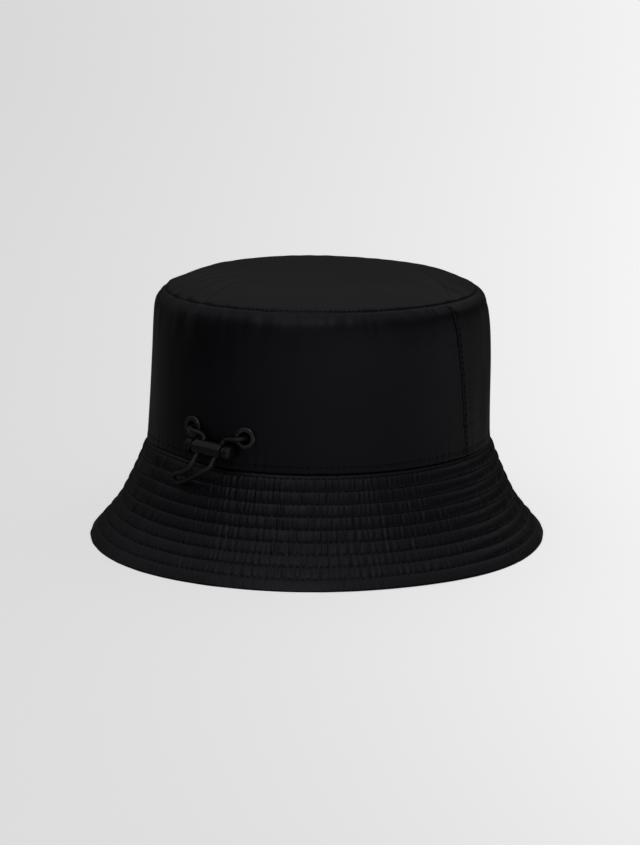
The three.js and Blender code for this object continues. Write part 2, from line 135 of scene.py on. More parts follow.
def smooth_path(points, per_span):
    """A centripetal Catmull-Rom curve through the points."""
    p = np.array([tuple(q) for q in points], float)
    p = np.vstack([2 * p[0] - p[1], p, 2 * p[-1] - p[-2]])
    out = []
    for i in range(1, len(p) - 2):
        knots = [0.0]
        for k in range(3):
            knots.append(knots[-1] + np.linalg.norm(p[i + k] - p[i + k - 1]) ** 0.5)
        t0, t1, t2, t3 = knots
        t = np.linspace(t1, t2, per_span, endpoint=i == len(p) - 3)[:, None]
        a1 = (t1 - t) / (t1 - t0) * p[i - 1] + (t - t0) / (t1 - t0) * p[i]
        a2 = (t2 - t) / (t2 - t1) * p[i] + (t - t1) / (t2 - t1) * p[i + 1]
        a3 = (t3 - t) / (t3 - t2) * p[i + 1] + (t - t2) / (t3 - t2) * p[i + 2]
        b1 = (t2 - t) / (t2 - t0) * a1 + (t - t0) / (t2 - t0) * a2
        b2 = (t3 - t) / (t3 - t1) * a2 + (t - t1) / (t3 - t1) * a3
        out.append((t2 - t) / (t2 - t1) * b1 + (t - t1) / (t2 - t1) * b2)
    return np.vstack(out)


def lengths_along(line):
    """The distance from the line's start to each of its points."""
    return np.concatenate([[0], np.cumsum(np.linalg.norm(np.diff(line, axis=0), axis=1))])


def evenly(path, step):
    """The same line with points an even step apart."""
    gone = lengths_along(path)
    count = max(2, round(gone[-1] / step) + 1)
    even = np.linspace(0, gone[-1], count)
    return np.stack([np.interp(even, gone, path[:, k]) for k in range(3)], 1), gone[-1]


cord_line, cord_length = evenly(smooth_path(CORD_ROUTE, 24), 0.22)
cord_line = np.array([tuple(CORD_FRAME @ Vector(p)) for p in cord_line])
print("cord outside the hat:", round(cord_length, 1), "mm")

# %% [markdown]
# The cord itself could be a curve with a round bevel. A braid shows as small crossing humps, though, so it is
# made as a tube whose radius rises and falls where the yarns cross. Each ring of the tube is carried along the
# line without twisting, and the UV map runs round and along the cord for the material.


# %% A piece from points and faces
def new_piece(name, places, faces):
    """places is an array of points in millimetres."""
    mesh = bpy.data.meshes.new(name)
    mesh.from_pydata(places * MM, [], faces)
    mesh.polygons.foreach_set("use_smooth", [True] * len(mesh.polygons))
    piece = bpy.data.objects.new(name, mesh)
    bpy.context.collection.objects.link(piece)
    return piece


def in_bmesh(piece, work):
    bm = bmesh.new()
    bm.from_mesh(piece.data)
    work(bm)
    bm.to_mesh(piece.data)
    bm.free()


def mark_normals_out(piece):
    in_bmesh(piece, lambda bm: bmesh.ops.recalc_face_normals(bm, faces=bm.faces))
    for face in piece.data.polygons:
        face.use_smooth = True


# %% A braided tube along a line
def braided_tube(name, line, radius, sides, yarns, lay_length, relief):
    """line is in millimetres. yarns go each way round, one full turn every lay_length."""
    n = len(line)
    tangents = np.gradient(line, axis=0)
    tangents /= np.linalg.norm(tangents, axis=1)[:, None]
    side = np.cross(tangents[0], (0, 0, 1))
    side /= np.linalg.norm(side)
    gone = lengths_along(line)
    turn = 2 * np.pi * np.arange(sides) / sides
    verts = np.empty((n, sides, 3))
    for i in range(n):
        side = side - tangents[i] * side.dot(tangents[i])
        side /= np.linalg.norm(side)
        up = np.cross(tangents[i], side)
        along = 2 * np.pi * gone[i] / lay_length
        one_way = np.cos(yarns * (turn + along))
        other_way = np.cos(yarns * (turn - along))
        r = radius - relief + relief * np.maximum(one_way, other_way)
        verts[i] = line[i] + r[:, None] * (np.cos(turn)[:, None] * side + np.sin(turn)[:, None] * up)
    faces = []
    for i in range(n - 1):
        for k in range(sides):
            m = (k + 1) % sides
            faces.append((i * sides + k, i * sides + m, (i + 1) * sides + m, (i + 1) * sides + k))
    faces.append(tuple(range(sides))[::-1])
    faces.append(tuple((n - 1) * sides + k for k in range(sides)))
    piece = new_piece(name, verts.reshape(-1, 3), faces)
    uv = piece.data.uv_layers.new(name="along").data
    for f in piece.data.polygons[: (n - 1) * sides]:
        i, k = divmod(f.index, sides)
        for loop, (dk, di) in zip(f.loop_indices, ((0, 0), (1, 0), (1, 1), (0, 1))):
            uv[loop].uv = ((k + dk) / sides, gone[i + di] * MM)
    mark_normals_out(piece)
    return piece


cord = braided_tube("drawcord_braid", cord_line, CORD_R, 24, 6, 9.0, 0.09)
print("cord faces:", len(cord.data.polygons))

# %% [markdown]
# The hat is cut from flat cloths: a round tip, two halves of the side band and two halves of the brim, each
# with its lining or its under cloth. Every one of them lies on one of three surfaces: the wall, the brim and
# the domed tip. The wall and the brim each follow a drawn profile, a smooth curve through a few half widths and
# heights, carried round an oval that is a little longer from front to back. The same profiles shape the CAD.

# %% Profiles of the wall and of the brim
DEEPER = 8.8
SEAM_A, SEAM_Z = 88.2, 51.3
TIP_A, TIP_Z = 79.5, 131.0
TIP_RISE, TIP_POWER = 11.6, 2.6


def profile(points):
    """Distance along a smooth line through the points, with the point and the direction at each distance."""
    p = np.array(points, float)
    last = len(p) - 1
    t = np.linspace(0, last, 600)
    i = np.minimum(t.astype(int), last - 1)
    w = (t - i)[:, None]
    before, here, there, after = p[np.maximum(i - 1, 0)], p[i], p[i + 1], p[np.minimum(i + 2, last)]
    out, into = (there - before) / 2, (after - here) / 2
    line = (2 * here - 2 * there + out + into) * w**3 + (3 * there - 3 * here - 2 * out - into) * w**2
    line += out * w + here
    gone = lengths_along(line)
    way = np.gradient(line, gone, axis=0)
    return gone, line, way / np.linalg.norm(way, axis=1)[:, None]


WALL = profile([(88.2, 51.3), (87.3, 72), (86.5, 97), (85.6, 116), (83.9, 125.6), (79.5, 131)])
BRIM = profile([(118.3, 0), (114.9, 4.2), (109.2, 10.6), (101.6, 21.2), (94.3, 36.4), (88.2, 51.3)])
WALL_HEIGHT = WALL[0][-1]
BRIM_WIDTH = BRIM[0][-1]
print("wall", round(WALL_HEIGHT, 1), "mm up the cloth, brim", round(BRIM_WIDTH, 1), "mm across")

# %% [markdown]
# The drawcord gathers the crown at the left back, so the seam beneath is drawn up there. The brim's edge lifts
# and falls by about half a millimetre, as soft brims do, and its oval is a little fuller at the right and at
# the left back. The right side seam leans: it starts upright at the brim and ends nearer the back.


# %% Points on the wall, the brim and the tip
def bell(x, width):
    return np.exp(-((x / width) ** 2))


def pull(turn):
    """How far the gathered cord lifts the seam."""
    return 2.2 * np.exp(-(((np.degrees(turn) - 66) / 20) ** 2))


def on_profile(line, turn, along, depth):
    gone, points, way = line
    reach, height = np.interp(along, gone, points[:, 0]), np.interp(along, gone, points[:, 1])
    way_out, way_up = np.interp(along, gone, way[:, 0]), np.interp(along, gone, way[:, 1])
    reach = reach - way_up * depth
    height = height + way_out * depth
    return reach, height


def round_the_head(reach, turn, height):
    return np.stack([reach * np.cos(turn), (reach + DEEPER) * np.sin(turn), height], -1)


def lean(turn, up):
    """The right side seam swings round to the back towards its top, and the cloth beside it goes along."""
    from_seam = np.degrees(turn) % 360 - 180
    return -0.128 * (np.clip(up, 0, WALL_HEIGHT) / WALL_HEIGHT) ** 1.8 * bell(from_seam, 42)


def wall_at(turn, up, depth=0.0):
    """up is the distance up the cloth from the seam with the brim."""
    turn = turn + lean(turn, up)
    reach, height = on_profile(WALL, turn, up, depth)
    return round_the_head(reach, turn, height + pull(turn) * (1 - up / WALL_HEIGHT) ** 2)


EDGE_LIFT = 0.1


def brim_at(turn, down, depth=0.0):
    """down is the distance down the cloth from the seam with the crown."""
    share = down / BRIM_WIDTH
    reach, height = on_profile(BRIM, turn, BRIM_WIDTH - down, depth)
    lift = pull(turn) * (1 - share) ** 2
    lift = lift + share**6 * (EDGE_LIFT + 0.25 * np.cos(2 * turn + 0.4) + 0.2 * np.cos(5 * turn))
    degrees = np.degrees(turn) % 360
    spread_out = share**2 * (2.4 * bell(degrees - 172, 26) + 1.4 * bell(degrees - 74, 22))
    return round_the_head(reach + spread_out, turn, height + lift)


def tip_at(turn, out, depth=0.0):
    """out is 0 at the middle of the tip and 1 at its seam."""
    a, b = TIP_A * out, (TIP_A + DEEPER) * out
    height = TIP_Z + TIP_RISE * (1 - out**TIP_POWER) - depth
    height = height + 1.5 * bell(out - 0.78, 0.19) * (1 - out**12)
    return np.stack([a * np.cos(turn), b * np.sin(turn), height], -1)


def raised(surface, turn, along, offset, step=0.05):
    """Points on a surface, moved offset outwards along its normal. A row and a column make a grid."""
    turn, along = np.broadcast_arrays(turn, along)
    here = surface(turn, along)
    across = surface(turn + 0.002, along) - surface(turn - 0.002, along)
    up = surface(turn, along + step) - surface(turn, along - step)
    normal = np.cross(across, up)
    normal /= np.linalg.norm(normal, axis=-1)[..., None] + 1e-12
    outward = here - np.array([0, 0, 40.0])
    normal *= np.sign((normal * outward).sum(-1))[..., None]
    return here + normal * np.broadcast_to(offset, turn.shape)[..., None]


# %% [markdown]
# Cloth under tension is never smooth. The stitches gather it into small puckers, and the seams pull it into
# soft folds. Each of these is made as a sum of waves round the hat with random sizes and starts, from a fixed
# seed, so that no two puckers are alike and the hat comes out the same every time.


# %% Random waves
def waves(turn, along, fewest, most, slant, seed, count=26):
    """Between fewest and most waves round the hat. slant tilts them: 0 is straight up and down."""
    rng = np.random.default_rng(seed)
    turns = rng.integers(fewest, most + 1, count)
    tilt = rng.uniform(-slant, slant, count)
    start = rng.uniform(0, 2 * np.pi, count)
    size = rng.uniform(0.5, 1, count)
    total = 0
    for n, m, s, a in zip(turns, tilt, start, size):
        total = total + a * np.cos(n * turn + m * along + s)
    return total / math.sqrt((size**2).sum())


# %% [markdown]
# The brim is quilted by nine rows of stitching. The cloth stands up a little between the rows and is drawn down
# at each row, with fine puckers running across. Beside the side seams, and most of all on the back half, the
# puffs are fuller. The last band, next to the edge, is not quilted and stays smooth.

# %% The brim's relief
FIRST_ROW = 2.2
LAST_BAND = 7.2
ROWS = 9
ROW_STEP = (BRIM_WIDTH - LAST_BAND - FIRST_ROW) / (ROWS - 1)
ROW_AT = [FIRST_ROW + k * ROW_STEP for k in range(ROWS)]


def puffed(lane):
    """How high the cloth stands between two rows, from 0 at a row to 1 halfway."""
    return np.sin(np.pi * np.clip(lane - np.floor(lane), 0, 1)) ** 0.75


def from_side_seam(turn, down):
    return np.abs(np.sin(turn)) * (SEAM_A + 0.5 * down)


def brim_relief(turn, down):
    lane = (down - FIRST_ROW) / ROW_STEP
    puff = puffed(lane)
    quilted = (lane > 0) & (lane < ROWS - 1)
    band = np.clip((down - ROW_AT[-1]) / LAST_BAND, 0, 1)
    seam = from_side_seam(turn, down)
    near_seam = bell(seam, 22) * np.where(np.cos(turn) < 0, 1.0, 0.8)
    back_side = np.where(np.sin(turn) > 0, 1.0, 0.45)
    fine = 0.6 * waves(turn, down, 130, 290, 0.12, 11)
    fine = fine + 0.7 * waves(turn, 9.0 * np.floor(lane), 100, 260, 1.5, 12)
    broad = waves(turn, down, 14, 40, 0.06, 13)
    relief = np.where(quilted, 0.30 * puff * (1 + 3.6 * near_seam * back_side), 0)
    relief = relief + np.where(quilted, (0.45 + 0.55 * puff) * 0.25 * fine, 0)
    from_row = np.abs(lane - np.round(lane)) * ROW_STEP
    relief = relief - np.where((lane > -0.5) & (lane < ROWS - 0.5), 0.22 * bell(from_row, 0.45), 0)
    relief = relief + np.where(lane >= ROWS - 1, 0.35 * np.sin(np.pi * np.minimum(band, 0.5)) ** 0.8, 0)
    relief = relief + np.where(lane >= ROWS - 1, 0.10 * fine * bell(band, 0.4), 0)
    relief = relief + 0.10 * broad * np.minimum(down / 10, 1)
    return relief - 0.5 * bell(seam, 1.1) - 0.2 * bell(down, 1.2)


print("stitched rows every", round(ROW_STEP, 2), "mm")

# %% [markdown]
# The crown is plainer. Its cloth is drawn down at the tip seam, at the two side seams and at the seam with the
# brim, and one row of topstitching holds the seam allowance a few millimetres above the brim. Puckers fan out
# from the seams and fade within a finger's width. Broad soft waves give the satin its slow lights and darks,
# and a soft fold lies over the eyelets, where the drawcord draws the cloth in.

# %% The crown's relief
def above(relief, floor):
    """Dents fade out before they reach the cloth underneath."""
    return np.where(relief < 0, floor * np.tanh(relief / floor), relief)


def gathered_left(turn):
    """The tip seam is gathered most at the left back."""
    return bell(np.degrees(turn) - 58, 34)


TOPSTITCH_UP = 3.7
SIDE_STITCH = 1.5


def crown_relief(turn, up):
    to_top = WALL_HEIGHT - up
    side = np.abs(np.sin(turn)) * SEAM_A
    left_top = gathered_left(turn)
    fine = waves(turn, up, 50, 130, 0.08, 21)
    medium = waves(turn, up, 22, 60, 0.10, 22)
    broad = waves(turn, up, 3, 9, 0.035, 23)
    relief = 0.6 * broad * np.sin(np.pi * np.clip(up / WALL_HEIGHT, 0, 1)) ** 0.8
    slack = bell(np.degrees(turn) % 360 - 203, 16)
    relief = relief + 0.8 * slack * waves(turn, up, 16, 30, 0.09, 25) * np.minimum(up / 20, 1)
    relief = relief + (0.16 + 0.2 * left_top) * fine * np.exp(-to_top / 7)
    relief = relief + (0.24 + 0.6 * left_top) * medium * np.exp(-to_top / 13)
    relief = relief + 0.13 * fine * np.exp(-np.maximum(up - TOPSTITCH_UP, 0) / 5)
    relief = relief - 0.22 * bell(up - TOPSTITCH_UP, 0.6)
    sideways = waves(up / 12.0, side, 4, 12, 0.12, 24) * np.exp(-side / 8)
    relief = relief + 0.2 * sideways - 0.7 * bell(side, 0.8) * np.minimum(to_top / 6, 1)
    relief = relief + 0.35 * bell(side - 1.9, 1.6)
    stitched_side = np.where(np.sin(turn) < 0, 1.0, 0.0)
    relief = relief - 0.12 * stitched_side * bell(side - SIDE_STITCH, 0.5)
    drawn_over = bell(np.degrees(turn) - 84, 17) * bell(up - 47, 15)
    relief = relief + 1.5 * drawn_over
    corner = bell(side - 4.5, 2.6) * bell(to_top - 12, 13) * np.where(np.sin(turn) < 0, 1.0, 0.3)
    relief = relief + 0.9 * corner
    return above(relief, 1.2) * (1 - 0.75 * bell(to_top, 2.2)) - 0.6 * bell(to_top, 0.8)


# %% The tip's relief
def tip_relief(turn, out):
    inward = (1 - out) * (TIP_A + DEEPER / 2)
    x, y = TIP_A * out * np.cos(turn), (TIP_A + DEEPER) * out * np.sin(turn)
    left_top = gathered_left(turn)
    relief = (0.15 + 0.2 * left_top) * waves(turn, inward, 50, 130, 0.08, 31) * np.exp(-inward / 5)
    relief = relief + (0.3 + 1.0 * left_top) * waves(turn, inward, 14, 40, 0.08, 32) * np.exp(-inward / 15)
    relief = relief + 0.6 * waves(x / 60, y / 60, 1, 4, 3.0, 33) * np.minimum(inward / 20, 1)
    across = (x + 62) * 0.64 + (y + 6) * 0.77 + 2
    along = (y + 6) * 0.64 - (x + 62) * 0.77
    relief = relief + 1.7 * bell(across, 3.0) * bell(along, 24) * np.minimum(inward / 3, 1)
    return above(relief, 0.9) * (1 - 0.75 * bell(inward, 2.2)) - 0.6 * bell(inward, 0.8)


def wall_skin(turn, up, extra=0.0):
    return raised(wall_at, turn, up, crown_relief(turn, up) + extra)


def brim_skin(turn, down, extra=0.0):
    return raised(brim_at, turn, down, brim_relief(turn, down) + extra)


def tip_skin(turn, out, extra=0.0):
    return raised(tip_at, turn, out, tip_relief(turn, out) + extra, 0.002)


# %% [markdown]
# Every cloth is then a fine grid of points on its surface. The grid becomes a mesh with a UV map in metres that
# runs across and along the cloth, which the weave follows, and a Solidify modifier gives it its thickness.
# The closed shell that results has both faces and the cut edges, as a real cloth has.


# %% Where the eyelets are set
def eyelet_seat(side):
    """The eyelet's centre on the cloth, and the way it faces."""
    mouth = CORD_FRAME @ Vector((side * EYELET_X, 0, 0))
    reach = float(on_profile(WALL, 0, EYELET_Z - SEAM_Z, 0)[0])
    facing = Vector((mouth.x / reach**2, mouth.y / (reach + DEEPER) ** 2, 0)).normalized()
    facing.z = 0.045
    centre = Vector((mouth.x, (reach + DEEPER) * math.sqrt(1 - (mouth.x / reach) ** 2), mouth.z))
    return centre, facing.normalized()


PUNCH_R = 4.3


def clear_of_eyelets(places):
    keep = np.ones(len(places), bool)
    for side in (1, -1):
        centre, facing = (np.array(v) for v in eyelet_seat(side))
        away = places - centre
        keep &= np.linalg.norm(away - (away @ facing)[:, None] * facing, axis=1) > PUNCH_R
    return keep


# %% A cloth from a grid of points
def only(piece):
    bpy.ops.object.select_all(action="DESELECT")
    piece.select_set(True)
    bpy.context.view_layer.objects.active = piece


def give_thickness(piece, thickness):
    only(piece)
    solidify = piece.modifiers.new("thickness", "SOLIDIFY")
    solidify.thickness = thickness * MM
    solidify.offset = -1
    bpy.ops.object.modifier_apply(modifier="thickness")


def cloth(name, points, across, along, thickness, wrap=False, punched=False):
    """points is rows by columns by 3, in millimetres. across and along are its places on the flat cloth."""
    rows, columns = points.shape[:2]
    at = np.arange(rows * columns).reshape(rows, columns)
    right = np.roll(at, -1, axis=1) if wrap else at[:, 1:]
    here = at if wrap else at[:, :-1]
    quads = np.stack([here[:-1], right[:-1], right[1:], here[1:]], -1).reshape(-1, 4)
    flat = points.reshape(-1, 3)
    middle = flat[quads].mean(1)
    normal = np.cross(flat[quads[:, 2]] - flat[quads[:, 0]], flat[quads[:, 3]] - flat[quads[:, 1]])
    if ((middle - np.array([0, 0, 40.0])) * normal).sum() < 0:
        quads = quads[:, ::-1]
    if punched:
        quads = quads[clear_of_eyelets(middle)]
    piece = new_piece(name, flat, quads.tolist())
    places = np.stack([np.broadcast_to(across, (rows, columns)), np.broadcast_to(along, (rows, columns))], -1)
    corners = places.reshape(-1, 2)[quads].reshape(-1) * MM
    piece.data.uv_layers.new(name="cloth").data.foreach_set("uv", corners)
    give_thickness(piece, thickness)
    return piece


def half_turn(half, steps, trim):
    start = 0 if half == "back" else math.pi
    return np.linspace(start + trim, start + math.pi - trim, steps)[None, :]


# %% [markdown]
# The two halves of the crown. Their top edges turn down into the tip seam, and the bottom edges roll over the
# start of the brim, so the brim seems to come out from under the crown.

# %% Crown panels
CLOTH = 0.45
SIDE_TRIM = 0.04 / SEAM_A
WALL_U = SEAM_A + DEEPER / 2


def wall_rows(step):
    up = np.arange(0.5, WALL_HEIGHT - 0.3, step)
    rolled_up = np.array([0.25, 0.25, 0.3, 0.36, 0.5])
    rolled_extra = np.array([-0.9, -0.55, -0.3, -0.1, 0.0])
    top_up = np.array([WALL_HEIGHT - 0.15, WALL_HEIGHT - 0.05, WALL_HEIGHT])
    top_extra = np.array([-0.15, -0.5, -0.9])
    up_all = np.concatenate([rolled_up, up[1:], top_up])
    extra = np.concatenate([rolled_extra, 0 * up[1:], top_extra])
    return up_all[:, None], extra[:, None] + 0.2 * bell(up_all[:, None] - 1.2, 3)


def crown_panel(half):
    up, extra = wall_rows(0.95)
    turn = half_turn(half, 300, SIDE_TRIM)
    points = wall_skin(turn, up, extra)
    return cloth(f"crown_{half}_cloth", points, turn * WALL_U, up, CLOTH, punched=half == "back")


crown_cloths = {half: crown_panel(half) for half in ("front", "back")}
print({half: len(piece.data.polygons) for half, piece in crown_cloths.items()})

# %% [markdown]
# The tip is one oval, sewn in all round. Its rings of points close at the middle.


# %% Crown tip
def oval(name, skin, thickness, columns, rings):
    out = np.concatenate([[1.0, 0.9995, 0.998], 1 - np.linspace(0.005, 0.985, rings) ** 0.9])
    extra = np.concatenate([[-0.9, -0.5, -0.15], np.zeros(rings)])[:, None]
    turn = np.linspace(0, 2 * math.pi, columns, endpoint=False)[None, :]
    points = skin(turn, out[:, None], extra)
    middle = points[-1].mean(0)
    points = np.concatenate([points, np.broadcast_to(middle, (1, columns, 3))])
    piece = cloth(name, points, points[..., 0], points[..., 1], thickness, wrap=True)
    in_bmesh(piece, lambda bm: bmesh.ops.remove_doubles(bm, verts=bm.verts, dist=1e-6))
    return piece


tip_cloth = oval("crown_tip_cloth", tip_skin, CLOTH, 480, 62)
print("tip faces:", len(tip_cloth.data.polygons))

# %% [markdown]
# The brim's upper cloth runs from under the crown down to the edge, and turns under there in a small roll.
# The pale under cloth starts inside that roll and shows as a thin line along the edge.

# %% Brim cloths
BRIM_U = 104.0
EDGE_DOWN = BRIM_WIDTH - 1.0
ROLL_R = 0.75
TUCKED_UP = np.array([1.4, 1.0, 0.6, 0.2])[:, None]
TUCK_DEPTH = 1.45
BRIM_COLUMNS = 536
LAP, LAP_DEPTH = 1.5, 0.8


def lapped_turn(half, down):
    """At the side seams the front cloth runs on below the back one, as a seam allowance does."""
    if half == "back":
        turn = np.tile(half_turn(half, BRIM_COLUMNS, SIDE_TRIM), (len(down), 1))
        return turn, np.zeros_like(turn)
    every = np.ones_like(down)
    in_reach = np.clip(np.minimum((down - 0.5) / 1.5, (EDGE_DOWN - 2 - down) / 2), 0, 1)
    beyond = np.hstack([0.05 - (LAP + 0.05) * in_reach, 0.08 * every, 0.5 * every]) / SEAM_A
    middle = every * half_turn(half, BRIM_COLUMNS - 6, 1.0 / SEAM_A)
    turn = np.hstack([math.pi + beyond, middle, 2 * math.pi - beyond[:, ::-1]])
    deep = -LAP_DEPTH * np.clip(np.minimum(down / 0.5, (EDGE_DOWN - 0.5 - down) / 1.5), 0, 1)
    lap = np.zeros_like(turn)
    lap[:, :2] = lap[:, -2:] = deep
    return turn, lap


def brim_panel(half):
    lanes = np.add.outer(np.arange(ROWS), np.array([-0.08, 0, 0.08, 0.2, 0.35, 0.5, 0.65, 0.8])).ravel()
    down = np.concatenate([[0, 0.7, 1.3], FIRST_ROW + lanes * ROW_STEP])
    down = np.concatenate([down, np.linspace(down[-1], EDGE_DOWN, 5)[1:-1]])
    roll = np.radians([20, 45, 70, 95, 120, 150, 180])
    rolled_down = EDGE_DOWN + ROLL_R * np.sin(roll)
    rolled_extra = -ROLL_R * (1 - np.cos(roll))
    down_all = np.concatenate([down, rolled_down])[:, None]
    extra = np.concatenate([0 * down, rolled_extra])[:, None]
    extra = extra - 0.35 * bell(down_all, 0.8)
    cut_down = np.concatenate([-TUCKED_UP, down_all])
    turn, lap = lapped_turn(half, cut_down)
    tucked_turn, brim_turn = np.split(turn, [len(TUCKED_UP)])
    relief = brim_relief(brim_turn, np.minimum(down_all, EDGE_DOWN))
    points = raised(brim_at, brim_turn, down_all, relief + extra + lap[len(TUCKED_UP):])
    tucked = raised(wall_at, tucked_turn, TUCKED_UP, -TUCK_DEPTH)
    points = np.concatenate([tucked, points])
    points[..., 2] = np.maximum(points[..., 2], 0.05)
    return cloth(f"brim_top_{half}_cloth", points, turn * BRIM_U, cut_down, 0.4)


brim_cloths = {half: brim_panel(half) for half in ("front", "back")}
print({half: len(piece.data.polygons) for half, piece in brim_cloths.items()})


# %% The under cloth and the stiffener between
def under_relief(turn, down):
    puff = puffed(np.clip((down - FIRST_ROW) / ROW_STEP, 0, ROWS - 1))
    fine = waves(turn, down, 60, 150, 0.10, 41)
    return -0.25 * puff - 0.10 * fine * puff - 0.3 * bell(from_side_seam(turn, down), 1.4)


UNDER_DEPTH = 1.95
STIFFENER_DEPTH = 1.05


def under_panel(half):
    rolled = EDGE_DOWN - 0.6 + np.array([0.3, 0.7, 1.0, 1.05, 0.8])
    down = np.concatenate([np.arange(0.8, EDGE_DOWN - 0.6, 0.9), rolled])
    extra = np.concatenate([np.zeros(len(down) - 5), [0, 0, -0.2, -0.45, -0.7]])[:, None]
    turn = half_turn(half, 360, SIDE_TRIM)
    down = down[:, None]
    points = raised(brim_at, turn, down, under_relief(turn, down) + extra - UNDER_DEPTH)
    points[..., 2] = np.maximum(points[..., 2], 0.05)
    return cloth(f"brim_under_{half}_cloth", points, turn * BRIM_U, down, 0.3)


def stiffener_panel(half):
    down = np.arange(2.4, BRIM_WIDTH - 5.4, 2.4)[:, None]
    turn = half_turn(half, 160, 3.0 / SEAM_A)
    points = raised(brim_at, turn, down, -STIFFENER_DEPTH)
    return cloth(f"brim_interlining_{half}_felt", points, turn * BRIM_U, down, 0.7)


under_cloths = {half: under_panel(half) for half in ("front", "back")}
stiffeners = {half: stiffener_panel(half) for half in ("front", "back")}
print("under cloths and stiffeners:", len(under_cloths) + len(stiffeners))

# %% [markdown]
# Inside the crown are a pale lining, a small black patch behind the eyelets, and the black sweatband, which
# stands off the lining over the cord. A blank label hangs from the band.


# %% Linings, patch, sweatband and label
PATCH_DEPTH = 1.3
LINING_DEPTH = 2.0
BAND_DEPTH = 2.85
BAND_UP = (1.2, 33.6)
BAND_U = 84


def lining_relief(turn, up):
    side = np.abs(np.sin(turn)) * SEAM_A
    return 0.25 * waves(turn, up, 10, 46, 0.08, 51) * np.sin(np.pi * up / WALL_HEIGHT) + 0.5 * bell(side, 1)


def lining_panel(half):
    up = np.linspace(1.2, WALL_HEIGHT - 2.2, 48)[:, None]
    turn = half_turn(half, 180, SIDE_TRIM)
    points = raised(wall_at, turn, up, lining_relief(turn, up) - LINING_DEPTH)
    return cloth(f"lining_{half}_cloth", points, turn * WALL_U, up, 0.3, punched=half == "back")


def tip_lining_skin(turn, out, extra=0.0):
    inward = (1 - out) * TIP_A
    offset = 0.3 * waves(turn, inward, 8, 40, 0.08, 52) * np.exp(-inward / 14)
    return raised(tip_at, turn, out * 0.955, offset - 1.5 + extra, 0.002)


def patch_piece():
    up = np.linspace(8, 25.8, 20)[:, None]
    turn = math.pi / 2 + np.linspace(-28, 28, 57)[None, :] / SEAM_A
    points = raised(wall_at, turn, up, -PATCH_DEPTH)
    return cloth("eyelet_patch_cloth", points, turn * WALL_U, up, 0.4, punched=True)


def band_skin(turn, up, extra=0.0):
    share = np.clip((up - BAND_UP[0]) / (BAND_UP[1] - BAND_UP[0]), 0, 1)
    offset = -BAND_DEPTH - 4.3 * np.sin(np.pi * share) ** 0.7
    offset = offset + 0.22 * waves(turn, up, 30, 90, 0.05, 53) * np.sin(np.pi * share)
    return raised(wall_at, turn, up, offset - extra)


def sweatband_piece():
    up = np.linspace(*BAND_UP, 44)[:, None]
    trim = 0.0045
    turn = np.linspace(math.pi / 2 + trim, 2.5 * math.pi - trim, 520)[None, :]
    return cloth("sweatband_cloth", band_skin(turn, up), turn * BAND_U, up, 0.6)


def label_piece():
    up = np.linspace(35.6, 51.0, 24)[:, None]
    turn = math.radians(118) + np.linspace(-0.15, 0.15, 34)[None, :]
    offset = -BAND_DEPTH - 0.5 * np.sin((up - 35) / 6) ** 2 - 0.25 * np.cos(turn * 40)
    points = raised(wall_at, turn, up, offset)
    return cloth("care_label_ribbon", points, turn * BAND_U, up, 0.2)


lining_cloths = {half: lining_panel(half) for half in ("front", "back")}
tip_lining = oval("tip_lining_cloth", tip_lining_skin, 0.3, 200, 26)
patch = patch_piece()
sweatband = sweatband_piece()
label = label_piece()
print("inner cloths made, band faces:", len(sweatband.data.polygons))

# %% [markdown]
# The stitching. One stitch is a small spindle of thread whose ends dive into the cloth. It is modelled once
# from a sphere. A copy is laid at every stitch along each seam, resting on the cloth and turned to follow it.


# %% One stitch
def one_stitch(length, thick):
    bpy.ops.object.select_all(action="DESELECT")
    bpy.ops.mesh.primitive_uv_sphere_add(segments=6, ring_count=4, radius=1, rotation=(0, math.pi / 2, 0))
    stitch = bpy.context.object
    stitch.scale = (thick * 0.8, thick, length / 2)
    bpy.ops.object.transform_apply(location=False, rotation=True, scale=True)
    shape = np.array([tuple(v.co) for v in stitch.data.vertices])
    shape[:, 2] -= 0.28 * (np.abs(shape[:, 0]) / (length / 2)) ** 3
    faces = [tuple(face.vertices) for face in stitch.data.polygons]
    bpy.data.objects.remove(stitch)
    return shape, faces


STITCH = one_stitch(2.4, 0.29)
print("one stitch:", len(STITCH[1]), "faces")


# %% Rows of stitches
def sewn(name, skin, lines, pitch=3.0, sit=0.06):
    """lines is a list of (turn, along) arrays, each a line of stitching on the cloth."""
    shape, shape_faces = STITCH
    verts, faces = [], []
    for turn, along in lines:
        turn, along = np.broadcast_arrays(turn, along)
        gone = lengths_along(skin(turn, along))
        count = int(gone[-1] / pitch)
        at = (np.arange(count) + 0.5) * gone[-1] / count
        place = lambda d, extra: skin(np.interp(d, gone, turn), np.interp(d, gone, along), extra)
        here = place(at, sit)
        way = place(at + 0.5, sit) - place(at - 0.5, sit)
        way /= np.linalg.norm(way, axis=1)[:, None]
        up = place(at, sit + 0.5) - here
        up -= way * (up * way).sum(1)[:, None]
        up /= np.linalg.norm(up, axis=1)[:, None]
        axes = np.stack([way, np.cross(up, way), up], 1)
        copies = here[:, None, :] + np.einsum("vk,nkc->nvc", shape, axes)
        first = sum(len(v) for v in verts)
        verts.append(copies.reshape(-1, 3))
        for k in range(count):
            faces += [tuple(i + first + k * len(shape) for i in face) for face in shape_faces]
    piece = new_piece(name, np.vstack(verts), faces)
    mark_normals_out(piece)
    return piece


FULL_TURN = np.linspace(0, 2 * math.pi, 1600)
SIDE_UP = np.linspace(5, WALL_HEIGHT - 2, 120)
TOP_LINE = 0.991
side_angles = [math.pi + SIDE_STITCH / SEAM_A, 2 * math.pi - SIDE_STITCH / SEAM_A]
brim_rows = [(FULL_TURN, down) for down in ROW_AT]
band_rows = [(FULL_TURN + math.pi / 2, up) for up in (BAND_UP[1] - 1.6, BAND_UP[0] + 1.6)]


